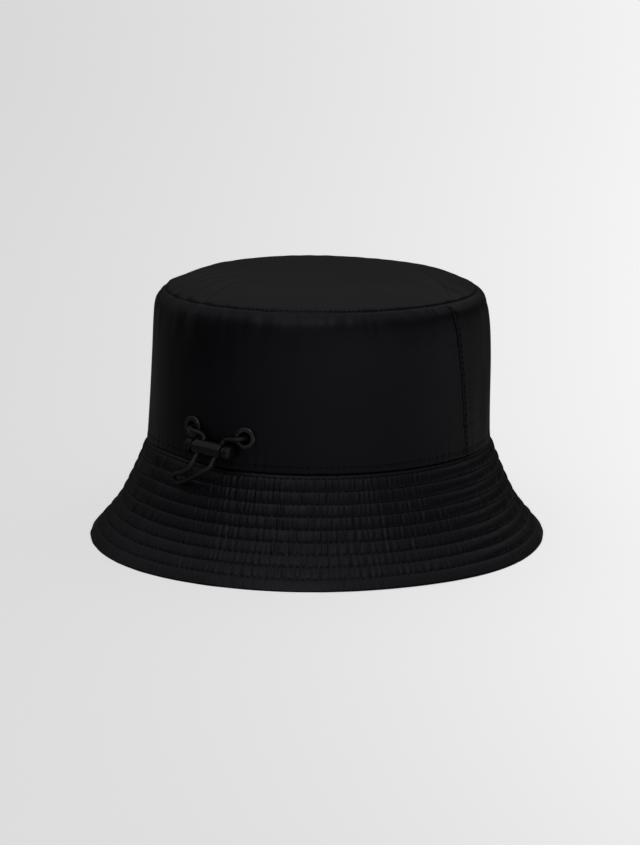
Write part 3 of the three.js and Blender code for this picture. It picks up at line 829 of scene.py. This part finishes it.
def under_skin(turn, down, extra=0.0):
    return raised(brim_at, turn, down, under_relief(turn, down) - UNDER_DEPTH - 0.3 - extra)


def crown_base_skin(turn, up, extra=0.0):
    return wall_skin(turn, up, extra + 0.2 * bell(up - 1.2, 3))


def band_inside(turn, up, extra=0.0):
    return band_skin(turn, up, extra + 0.62)


stitchings = {
    "brim_stitches": sewn("brim_stitches", brim_skin, brim_rows),
    "brim_under_stitches": sewn("brim_under_stitches", under_skin, brim_rows),
    "crown_base_stitches": sewn("crown_base_stitches", crown_base_skin, [(FULL_TURN, TOPSTITCH_UP)]),
    "tip_stitches": sewn("tip_stitches", tip_skin, [(FULL_TURN, TOP_LINE)], 2.4, -0.05),
    "side_stitches": sewn("side_stitches", wall_skin, [(angle, SIDE_UP) for angle in side_angles]),
    "band_stitches": sewn("band_stitches", band_inside, band_rows),
}
print({name: len(piece.data.polygons) for name, piece in stitchings.items()})

# %% [markdown]
# The cord goes on inside the hat: in through each eyelet, then round the head between the lining and the band.


# %% The cord inside
INNER_CORD_DEPTH = 5.7


def inside_route():
    points = []
    for side in (1, -1):
        centre, facing = eyelet_seat(side)
        away = Vector((side * facing.y, -side * facing.x, 0))
        steps = ((-0.6, -0.2), (-1.6, -0.3), (-3.4, -0.4), (-4.9, 0.3), (-5.8, 1.8))
        points.append([centre + facing * along + away * aside for along, aside in steps])
    turn = np.linspace(math.radians(76), math.radians(104 - 360), 31)
    reach, height = on_profile(WALL, turn, np.full(31, EYELET_Z - SEAM_Z), INNER_CORD_DEPTH)
    ring = round_the_head(reach, turn, height + 0.6 * pull(turn))
    return points[0] + [Vector(p) for p in ring] + points[1][::-1]


inside_line, inside_length = evenly(smooth_path(inside_route(), 16), 0.5)
inner_cord = braided_tube("drawcord_inside_braid", inside_line, CORD_R, 12, 3, 9.0, 0.06)
print("cord inside the hat:", round(inside_length, 1), "mm")

# %% [markdown]
# The eyelets are pressed metal: a rounded flange outside, a neck through the cloths and a lip rolled out over
# a washer inside. One is modelled from a cylinder, standing on the world origin, and then set in its place.


# %% Helpers for hard pieces
def cylinder(name, radius, depth, middle=(0, 0, 0), sides=64, rotation=(0, 0, 0)):
    bpy.ops.object.select_all(action="DESELECT")
    place = [c * MM for c in middle]
    bpy.ops.mesh.primitive_cylinder_add(
        vertices=sides, radius=radius * MM, depth=depth * MM, location=place, rotation=rotation)
    piece = bpy.context.object
    piece.name = piece.data.name = name
    bpy.ops.object.transform_apply(location=True, rotation=True, scale=True)
    return piece


def pick(piece, kind, wanted):
    """Leaves the mesh in edit mode with only the wanted faces or edges selected."""
    bpy.ops.object.mode_set(mode="EDIT")
    bpy.ops.mesh.select_mode(type=kind)
    bpy.ops.mesh.select_all(action="DESELECT")
    bpy.ops.object.mode_set(mode="OBJECT")
    for part in piece.data.polygons if kind == "FACE" else piece.data.edges:
        part.select = bool(wanted(part))
    bpy.ops.object.mode_set(mode="EDIT")


def pick_faces(piece, wanted):
    """Selects the faces that wanted(centre in mm, normal) says."""
    pick(piece, "FACE", lambda face: wanted(face.center / MM, face.normal))


def pick_edges(piece, wanted):
    """Selects the edges that wanted(first end, second end, both in mm) says."""
    place = lambda corner: piece.data.vertices[corner].co / MM
    pick(piece, "EDGE", lambda edge: wanted(place(edge.vertices[0]), place(edge.vertices[1])))


def push(distance, way=(0, 0, 1)):
    bpy.ops.mesh.extrude_region_move(TRANSFORM_OT_translate={"value": [c * distance * MM for c in way]})


def inset(by):
    bpy.ops.mesh.inset(thickness=by * MM)


def swell(by, middle):
    """Scales what is selected away from the X axis, about the point at middle along it."""
    bpy.ops.transform.resize(value=(1, by, by), center_override=(middle * MM, 0, 0))


def bevel(width, segments):
    bpy.ops.mesh.bevel(offset=width * MM, segments=segments, affect="EDGES")


def finished(piece, angle=40):
    bpy.ops.object.mode_set(mode="OBJECT")
    mark_normals_out(piece)
    only(piece)
    bpy.ops.object.shade_smooth_by_angle(angle=math.radians(angle))
    return piece


def set_down(piece, frame_mm):
    """Turns and moves the mesh to its place and leaves the object at the origin."""
    place = frame_mm.copy()
    place.translation *= MM
    piece.data.transform(place)
    piece.data.update()
    return piece


def copy_of(piece, name):
    twin = piece.copy()
    twin.data = piece.data.copy()
    twin.name = twin.data.name = name
    bpy.context.collection.objects.link(twin)
    return twin


# %% One eyelet and one washer
def ring_at(radius, height):
    """True for an edge that lies on the circle of that radius at that height."""
    near = lambda p: abs(math.hypot(p.x, p.y) - radius) < 0.05 and abs(p.z - height) < 0.05
    return lambda a, b: near(a) and near(b)


def one_eyelet():
    flange, neck, hole = 5.6, 3.5, 3.0
    piece = cylinder("eyelet", flange, 1.2, (0, 0, 0.8))
    pick_faces(piece, lambda c, n: n.z > 0.9)
    inset(flange - hole)
    pick_faces(piece, lambda c, n: n.z < -0.9)
    inset(flange - neck)
    push(-3.6)
    push(-0.35)
    bpy.ops.transform.resize(value=(1.22, 1.22, 1), center_override=(0, 0, -3.75 * MM))
    inset(1.22 * neck - hole)
    pick_faces(piece, lambda c, n: abs(n.z) > 0.9 and c.xy.length < 0.5)
    bpy.ops.mesh.bridge_edge_loops()
    pick_edges(piece, ring_at(flange, 1.4))
    bevel(0.95, 6)
    pick_edges(piece, ring_at(hole, 1.4))
    bevel(0.55, 5)
    return finished(piece)


def one_washer():
    rim, hole = 5.4, 3.65
    piece = cylinder("washer", rim, 0.4, (0, 0, -3.3))
    for way in (1, -1):
        pick_faces(piece, lambda c, n: n.z * way > 0.9)
        inset(rim - hole)
    pick_faces(piece, lambda c, n: abs(n.z) > 0.9 and c.xy.length < 0.5)
    bpy.ops.mesh.bridge_edge_loops()
    pick_edges(piece, lambda a, b: ring_at(rim, -3.1)(a, b) or ring_at(rim, -3.5)(a, b))
    bevel(0.15, 3)
    return finished(piece)


eyelet_model, washer_model = one_eyelet(), one_washer()
eyelets = {}
for side_name, side in (("left", 1), ("right", -1)):
    centre, facing = eyelet_seat(side)
    seat = Matrix.Translation(centre) @ Vector((0, 0, 1)).rotation_difference(facing).to_matrix().to_4x4()
    eyelets[f"eyelet_{side_name}"] = set_down(copy_of(eyelet_model, f"eyelet_{side_name}_ring"), seat)
    eyelets[f"eyelet_{side_name}_washer"] = set_down(copy_of(washer_model, f"washer_{side_name}_ring"), seat)
bpy.data.objects.remove(eyelet_model)
bpy.data.objects.remove(washer_model)
print("eyelet pieces:", sorted(eyelets))

# %% [markdown]
# The cord lock is a fluted barrel with a push button at each end. A strand of the cord runs through each end of
# the barrel and through the slot in that button's stem. The spring inside pushes the stems apart, so that the
# slots nip the strands. Pressing both buttons frees the cord.


# %% The lock's barrel
def drill(piece, side, radius, stretch=1.0, shift=0.0):
    """Bores a hole along Y through the piece at the strand, stretched into a slot along X."""
    cutter = cylinder("cutter", radius, 16, sides=40, rotation=(math.pi / 2, 0, 0))
    cutter.scale.x = stretch
    cutter.location.x = side * (STRAND_X + shift) * MM
    bpy.ops.object.transform_apply(location=True, rotation=True, scale=True)
    only(piece)
    hole = piece.modifiers.new("hole", "BOOLEAN")
    hole.object = cutter
    hole.solver = "MANIFOLD"
    bpy.ops.object.modifier_apply(modifier="hole")
    bpy.data.objects.remove(cutter)


BARREL_R, BARREL_HALF, BORE_R = 4.1, 8.0, 3.1
BARREL_SIDES = 56
STRAND_HOLE_R = 1.5


def lock_barrel():
    piece = cylinder(
        "lock_barrel_shell", BARREL_R, 2 * BARREL_HALF, sides=BARREL_SIDES, rotation=(0, math.pi / 2, 0))
    for way in (1, -1):
        pick_faces(piece, lambda c, n: n.x * way > 0.9)
        inset(BARREL_R - BORE_R)
    pick_faces(piece, lambda c, n: abs(n.x) > 0.9 and math.hypot(c.y, c.z) < 0.5)
    bpy.ops.mesh.bridge_edge_loops()
    pick_edges(piece, lambda a, b: all(
        abs(abs(p.x) - BARREL_HALF) < 0.01 and abs(math.hypot(p.y, p.z) - BARREL_R) < 0.02 for p in (a, b)))
    bevel(0.5, 4)
    step = 2 * math.pi / BARREL_SIDES
    flute = lambda c: int(math.atan2(c.z, c.y) % (2 * math.pi) / step) % 4 in (0, 1)
    pick_faces(piece, lambda c, n: abs(n.x) < 0.05 and math.hypot(c.y, c.z) > BARREL_R - 0.05 and flute(c))
    inset(0.14)
    bpy.ops.transform.shrink_fatten(value=-0.34 * MM)
    bpy.ops.object.mode_set(mode="OBJECT")
    mark_normals_out(piece)
    for side in (1, -1):
        drill(piece, side, STRAND_HOLE_R)
    return set_down(finished(piece, 28), LOCK_FRAME)


# %% The lock's buttons
CAP_START, STEM_R, STEM_START = 9.6, 2.85, 2.9
# Each step along the button, and the radius it ends at.
CAP_PROFILE = [
    (0, 3.5), (0.25, 3.85), (0.45, 3.9), (0.15, 3.55), (0.25, 3.55), (0.15, 3.9), (0.45, 3.9), (0.15, 3.55),
    (0.25, 3.55), (0.15, 3.9), (0.45, 3.9), (0.15, 3.55), (0.25, 3.5), (0.4, 3.1), (0.3, 2.3), (0.12, 1.2),
]


def lock_button(side, name):
    middle = side * (STEM_START + CAP_START) / 2
    piece = cylinder(name, STEM_R, CAP_START - STEM_START, (middle, 0, 0), rotation=(0, math.pi / 2, 0))
    pick_faces(piece, lambda c, n: n.x * side > 0.9)
    at, radius = CAP_START, STEM_R
    for step, wanted in CAP_PROFILE:
        push(step, (side, 0, 0))
        at += step
        swell(wanted / radius, side * at)
        radius = wanted
    bpy.ops.object.mode_set(mode="OBJECT")
    mark_normals_out(piece)
    drill(piece, side, STRAND_HOLE_R, 1.45, 0.68)
    return set_down(finished(piece, 35), LOCK_FRAME)


barrel = lock_barrel()
buttons = {"left": lock_button(1, "lock_left_button_cap"), "right": lock_button(-1, "lock_right_button_cap")}
print("lock:", len(barrel.data.polygons), {k: len(b.data.polygons) for k, b in buttons.items()})

# %% [markdown]
# The finishes. Each is a node material. The satin is a tight black weave, so its bump is a fine grid of threads
# that follows the cloth's own UV map, and slow noise varies its gloss, as calendered nylon does.


# %% Helpers for materials
def new_material(name, colour, roughness, specular, metallic=0.0):
    material = bpy.data.materials.new(name)
    material.use_nodes = True
    shader = material.node_tree.nodes["Principled BSDF"]
    shader.inputs["Base Color"].default_value = (*colour, 1)
    shader.inputs["Roughness"].default_value = roughness
    shader.inputs["Specular IOR Level"].default_value = specular
    shader.inputs["Metallic"].default_value = metallic
    return material, shader


def wire(material, out, into):
    material.node_tree.links.new(out, into)


def add_node(material, kind, inputs, **settings):
    """settings are the node's own properties. An input takes a plain value or another node's output."""
    node = material.node_tree.nodes.new(kind)
    for key, value in settings.items():
        setattr(node, key, value)
    for key, value in inputs.items():
        if isinstance(value, bpy.types.NodeSocket):
            wire(material, value, node.inputs[key])
        else:
            node.inputs[key].default_value = value
    return node


def maths(material, operation, a, b):
    return add_node(material, "ShaderNodeMath", {0: a, 1: b}, operation=operation).outputs[0]


def plus(material, a, b):
    return maths(material, "ADD", a, b)


def times(material, a, b):
    return maths(material, "MULTIPLY", a, b)


def noise(material, vector, scale, detail=2.0, rough=0.5, stretch=None):
    if stretch:
        vector = add_node(material, "ShaderNodeMapping", {"Scale": stretch, "Vector": vector}).outputs["Vector"]
    inputs = {"Vector": vector, "Scale": scale, "Detail": detail, "Roughness": rough}
    return add_node(material, "ShaderNodeTexNoise", inputs).outputs["Fac"]


def spread(material, value, low, high):
    """Noise keeps near 0.5, so its middle part is stretched over low to high."""
    inputs = {"Value": value, "From Min": 0.3, "From Max": 0.7, "To Min": low, "To Max": high}
    return add_node(material, "ShaderNodeMapRange", inputs).outputs[0]


def bumped(material, shader, height, distance, before=None):
    inputs = {"Height": height, "Distance": distance, "Strength": 1.0}
    if before is not None:
        inputs["Normal"] = before
    normal = add_node(material, "ShaderNodeBump", inputs).outputs["Normal"]
    wire(material, normal, shader.inputs["Normal"])
    return normal


def shades(material, shader, value, dark, light):
    inputs = {"Factor": value, 6: (*dark, 1), 7: (*light, 1)}
    mixed = add_node(material, "ShaderNodeMix", inputs, data_type="RGBA")
    wire(material, mixed.outputs[2], shader.inputs["Base Color"])


def times_each(colour, factor):
    return tuple(c * factor for c in colour)


# %% Woven cloths
def thread_wave(material, vector, direction, period):
    inputs = {"Vector": vector, "Scale": math.pi / 10 / period, "Distortion": 0.0}
    return add_node(
        material, "ShaderNodeTexWave", inputs, wave_type="BANDS", bands_direction=direction).outputs["Fac"]


def uv_of(material, name):
    return add_node(material, "ShaderNodeUVMap", {}, uv_map=name).outputs["UV"]


def woven(name, colour, roughness, specular, thread, relief, sheen=0.0, uneven=0.25, crinkle=0.0, twill=False,
          tint=(1, 1, 1)):
    """thread is the pitch of the weave in metres, and relief how far its threads stand up."""
    material, shader = new_material(name, colour, roughness, specular)
    shader.inputs["Specular Tint"].default_value = (*tint, 1)
    shader.inputs["Sheen Weight"].default_value = sheen
    shader.inputs["Sheen Roughness"].default_value = 0.45
    uv = uv_of(material, "cloth")
    warp = thread_wave(material, uv, "X", thread)
    weft = thread_wave(material, uv, "DIAGONAL" if twill else "Y", thread * 1.15)
    weave = maths(material, "MAXIMUM", warp, weft)
    slubs = noise(material, uv, 260, 3, 0.6, (1, 0.16, 1))
    clouds = noise(material, uv, 22, 4, 0.6)
    mix = plus(material, times(material, slubs, 0.5), times(material, clouds, 0.5))
    shades(material, shader, mix, times_each(colour, 1 - uneven), times_each(colour, 1 + uneven))
    wire(material, spread(material, clouds, roughness - 0.05, roughness + 0.06), shader.inputs["Roughness"])
    normal = bumped(material, shader, weave, relief)
    if crinkle:
        creases = noise(material, uv, 420, 3, 0.6, (1, 0.25, 1))
        normal = bumped(material, shader, creases, crinkle, normal)
    return material


COOL = (0.84, 0.85, 1.0)
satin = woven(
    "black_satin_nylon", (0.0046, 0.0046, 0.0058), 0.34, 0.42, 0.00028, 0.000012, uneven=0.2, tint=COOL)
quilted_satin = woven(
    "black_satin_nylon_quilted", (0.0048, 0.0049, 0.0062), 0.36, 0.44, 0.00028, 0.000012, uneven=0.2,
    crinkle=0.00045, tint=COOL)
peach_lining = woven("pale_lining_taffeta", (0.72, 0.52, 0.36), 0.55, 0.3, 0.00030, 0.00002, 0.1, 0.05)
stiff_felt = woven("stiffener_felt", (0.60, 0.58, 0.53), 0.9, 0.1, 0.0009, 0.0001, 0.2, 0.08)
band_twill = woven(
    "black_band_twill", (0.006, 0.006, 0.0065), 0.7, 0.15, 0.00045, 0.00005, 0.05, 0.25, twill=True)
label_satin = woven("white_label_satin", (0.75, 0.74, 0.71), 0.4, 0.4, 0.00022, 0.00001, 0.1, 0.04)


# %% Thread, cord, metal and plastic
def place_of(material):
    return add_node(material, "ShaderNodeTexCoord", {}).outputs["Object"]


def thread_finish(name, colour):
    material, shader = new_material(name, colour, 0.7, 0.1)
    fibres = noise(material, place_of(material), 9000, 2, 0.6)
    shades(material, shader, fibres, times_each(colour, 0.7), times_each(colour, 1.3))
    bumped(material, shader, fibres, 0.00004)
    return material


def braid_finish():
    colour = (0.010, 0.010, 0.011)
    material, shader = new_material("black_elastic_braid", colour, 0.45, 0.5)
    uv = uv_of(material, "along")
    fibres = noise(material, uv, 900, 3, 0.6, (0.02, 1, 1))
    shades(material, shader, fibres, colour, (0.030, 0.030, 0.032))
    wire(material, spread(material, fibres, 0.36, 0.5), shader.inputs["Roughness"])
    bumped(material, shader, fibres, 0.00005)
    return material


def lacquered_metal():
    material, shader = new_material("black_lacquered_metal", (0.06, 0.06, 0.062), 0.25, 0.5, 0.8)
    at = place_of(material)
    scuffs = noise(material, at, 700, 5, 0.65)
    shades(material, shader, spread(material, scuffs, 0, 1), (0.04, 0.04, 0.042), (0.11, 0.11, 0.115))
    wire(material, spread(material, noise(material, at, 240, 3), 0.16, 0.28), shader.inputs["Roughness"])
    bumped(material, shader, scuffs, 0.00002)
    return material


def moulded_plastic():
    material, shader = new_material("black_moulded_nylon", (0.012, 0.012, 0.013), 0.28, 0.6)
    at = place_of(material)
    grain = noise(material, at, 5200, 3, 0.6)
    shades(material, shader, noise(material, at, 300, 3), (0.008, 0.008, 0.009), (0.016, 0.016, 0.017))
    wire(material, spread(material, noise(material, at, 500, 3), 0.22, 0.34), shader.inputs["Roughness"])
    bumped(material, shader, grain, 0.00002)
    return material


def drawn_steel():
    material, shader = new_material("spring_steel", (0.55, 0.55, 0.57), 0.3, 0.5, 1.0)
    lines = noise(material, place_of(material), 2500, 3, 0.6)
    wire(material, spread(material, lines, 0.22, 0.4), shader.inputs["Roughness"])
    bumped(material, shader, lines, 0.00001)
    return material


black_thread = thread_finish("black_sewing_thread", (0.003, 0.003, 0.003))
pale_thread = thread_finish("pale_sewing_thread", (0.62, 0.47, 0.34))
braid, metal, plastic, steel = braid_finish(), lacquered_metal(), moulded_plastic(), drawn_steel()
print(len(bpy.data.materials), "materials")

# %% [markdown]
# Every piece is now given its finish, the body it moves with, and the plain CAD part that it stands for.


# %% Finish and body of each piece
def dress(piece, material, slot, body, *stands_for):
    piece.data.materials.clear()
    piece.data.materials.append(material)
    if stands_for:
        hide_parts(*stands_for)
    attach(piece, body)


dress(tip_cloth, satin, "shell_satin", "hat", "crown_tip")
dress(tip_lining, peach_lining, "lining_cloth", "hat", "tip_lining")
for half in ("front", "back"):
    dress(crown_cloths[half], satin, "shell_satin", "hat", f"crown_{half}_panel")
    dress(brim_cloths[half], quilted_satin, "shell_satin", "hat", f"brim_top_{half}")
    dress(under_cloths[half], peach_lining, "lining_cloth", "hat", f"brim_under_{half}")
    dress(stiffeners[half], stiff_felt, "stiffener", "hat", f"brim_interlining_{half}")
    dress(lining_cloths[half], peach_lining, "lining_cloth", "hat", f"lining_{half}_panel")
dress(patch, band_twill, "band_cloth", "hat", "eyelet_backing_patch")
dress(sweatband, band_twill, "band_cloth", "hat", "sweatband")
dress(label, label_satin, "label_cloth", "hat", "care_label")
for name, piece in stitchings.items():
    pale = name == "brim_under_stitches"
    dress(piece, pale_thread if pale else black_thread, "lining_cloth" if pale else "shell_satin", "hat")
for node, piece in eyelets.items():
    dress(piece, metal, "eyelet_metal", "hat", node)
dress(inner_cord, braid, "elastic_cord", "hat", "drawcord_inside")
dress(barrel, plastic, "lock_plastic", "cord_lock", "lock_barrel")
for side_name, piece in buttons.items():
    dress(piece, plastic, "lock_plastic", f"{side_name}_button", f"lock_{side_name}_button")
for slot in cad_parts["lock_spring"].material_slots:
    slot.material = steel

# %% The cord outside takes its finish and stands in for the CAD cord
cord.data.materials.append(braid)
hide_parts("drawcord_outside")
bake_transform(cord)

# %% [markdown]
# The studio floor is a very large pale plane. Black satin shows only what it reflects, so a floor as pale as it
# looks would turn the brim grey. It is therefore pale for the eye of the camera alone: there it has a pale
# paint and a painted light, brighter to the right and at the far end. For the light that reaches the hat it is
# a darker grey paint, with a painted glow at the hat's right and back.

# %% Floor
CAMERA_REACH = 1.174
# PAINTED_LIGHT_FAR is the floor's brightness at its far end. The painted light gives all of it but
# FLOOR_BOUNCE, which the lamps add on the paint.
PAINTED_LIGHT_FAR, FLOOR_BOUNCE = 0.783, 0.15
FLOOR_PAINT, SEEN_PAINT = (0.25, 0.25, 0.25), (0.8, 0.8, 0.8)
# The painted glow that the floor gives off towards the hat: the way it is most, how far it reaches, how strong
# it is.
PAINTED_GLOW_AZIMUTH, PAINTED_GLOW_REACH, PAINTED_GLOW = 244, 1.2, 0.30


def within(material, value, low, high):
    return maths(material, "MAXIMUM", maths(material, "MINIMUM", value, high), low)


def along_floor(material, x_part, y_part):
    """The distance from the hat's middle along one direction on the floor."""
    place = add_node(material, "ShaderNodeSeparateXYZ", {0: place_of(material)})
    return plus(material, times(material, place.outputs[0], x_part), times(material, place.outputs[1], y_part))


def painted_floor_light(material):
    """Painted light for the camera alone: brighter to the right and at the far end, darker near the camera."""
    a = math.radians(CAMERA_AZIMUTH)
    reach = plus(material, along_floor(material, -math.sin(a), math.cos(a)), CAMERA_REACH)
    reach = maths(material, "MAXIMUM", reach, 0.5)
    across = along_floor(material, math.cos(a), math.sin(a))
    across = within(material, maths(material, "DIVIDE", across, times(material, reach, 0.1417)), -1.5, 1.5)
    near = maths(material, "DIVIDE", 0.7366, reach)
    near = times(material, near, near)
    far_part = plus(material, times(material, across, 0.1025), PAINTED_LIGHT_FAR - FLOOR_BOUNCE)
    curve = times(material, times(material, across, across), 0.02)
    near_part = times(material, near, plus(material, times(material, across, 0.053), 0.064))
    return maths(material, "SUBTRACT", plus(material, far_part, curve), near_part)


def painted_glow_share(material):
    """How much painted glow the floor gives off: most at the hat's right and back, none at its left and front.
    """
    a = math.radians(PAINTED_GLOW_AZIMUTH)
    share = along_floor(material, math.sin(a) / PAINTED_GLOW_REACH, -math.cos(a) / PAINTED_GLOW_REACH)
    return within(material, plus(material, share, 0.08), 0.0, 1.0)


def floor_paint():
    material, shader = new_material("studio_floor_paint_and_painted_light", FLOOR_PAINT, 0.9, 0.0)
    # A painted glow: the floor gives off light towards the hat, most at its right and back.
    wire(material, times(material, painted_glow_share(material), PAINTED_GLOW), shader.inputs["Emission Strength"])
    shader.inputs["Emission Color"].default_value = (1, 1, 1, 1)
    # For the camera, a painted light on the floor is added to its pale paint.
    glow = add_node(material, "ShaderNodeEmission", {"Strength": painted_floor_light(material)})
    paint = add_node(material, "ShaderNodeBsdfDiffuse", {"Color": (*SEEN_PAINT, 1)})
    seen = add_node(material, "ShaderNodeAddShader", {0: glow.outputs[0], 1: paint.outputs[0]})
    camera_ray = add_node(material, "ShaderNodeLightPath", {}).outputs["Is Camera Ray"]
    choice = add_node(
        material, "ShaderNodeMixShader", {0: camera_ray, 1: shader.outputs[0], 2: seen.outputs[0]})
    wire(material, choice.outputs[0], material.node_tree.nodes["Material Output"].inputs["Surface"])
    return material


bpy.ops.object.select_all(action="DESELECT")
bpy.ops.mesh.primitive_plane_add(size=80, location=(0, 0, 0))
floor = bpy.context.object
floor.name = "studio_floor"
floor.data.materials.append(floor_paint())
print("floor painted:", floor.data.materials[0].name)

# %% [markdown]
# The room is a world background. A picture of a real studio could light the hat too, but a plain shade that
# rises a little towards the ceiling is enough, and it draws no shapes on the satin. Behind the hat the camera
# sees a pale wall, so the far end of the floor has no dark line.

# %% The room
ROOM_DARK, ROOM_TOP, ROOM_POWER, PALE_WALL = 0.020, 0.29, 1.7, 0.72


def dim_room():
    """A room a little lighter towards its ceiling, with a pale wall for the camera."""
    world = bpy.data.worlds.new("dim_even_room")
    world.use_nodes = True
    room = world.node_tree.nodes["Background"]
    room.inputs["Color"].default_value = (1, 1, 1, 1)
    way = add_node(world, "ShaderNodeTexCoord", {}).outputs["Generated"]
    height = add_node(world, "ShaderNodeSeparateXYZ", {0: way}).outputs[2]
    height = maths(world, "MAXIMUM", height, 0.0)
    ceiling = times(world, maths(world, "POWER", height, ROOM_POWER), ROOM_TOP)
    camera_ray = add_node(world, "ShaderNodeLightPath", {}).outputs["Is Camera Ray"]
    light = plus(world, plus(world, ceiling, ROOM_DARK), times(world, camera_ray, PALE_WALL))
    wire(world, light, room.inputs["Strength"])
    return world


bpy.context.scene.world = dim_room()
print("room:", bpy.context.scene.world.name)

# %% [markdown]
# The lamps are soft boxes: large area lights with a weak glow, so their reflections fade out over the puckers
# instead of cutting them in two. One small and much brighter lamp gives the metal and the plastic their glints.

# %% Lamps
# Each lamp's size and radiance, then its azimuth and elevation in degrees, and its distance. Lengths in metres.
LAMPS = {
    "front_softbox": (2.4, 0.14, 200, 48, 2.4),
    "low_fill": (2.2, 0.07, 236, 14, 2.4),
    "left_fill": (1.6, 0.06, 100, 22, 2.4),
    "front_rim": (1.0, 0.10, 352, 34, 2.6),
    "small_key": (0.3, 3.0, 212, 44, 2.4),
}
LAMPS_AIM = Vector((0, 0, 0.06))


def soft_lamp(name, size, radiance, azimuth, elevation, distance):
    """A square softbox that faces the hat. radiance is how bright its face is, where the floor is about 0.8."""
    data = bpy.data.lights.new(name, "AREA")
    data.size = size
    data.energy = radiance * math.pi * size**2
    lamp = bpy.data.objects.new(name, data)
    way = look_from(azimuth, elevation)
    lamp.location = LAMPS_AIM + way * distance
    lamp.rotation_mode = "QUATERNION"
    lamp.rotation_quaternion = (-way).to_track_quat("-Z", "Y")
    bpy.context.collection.objects.link(lamp)


for name, lamp in LAMPS.items():
    soft_lamp(name, *lamp)
bpy.context.scene.view_settings.view_transform = "Standard"
print(len(LAMPS), "lamps")
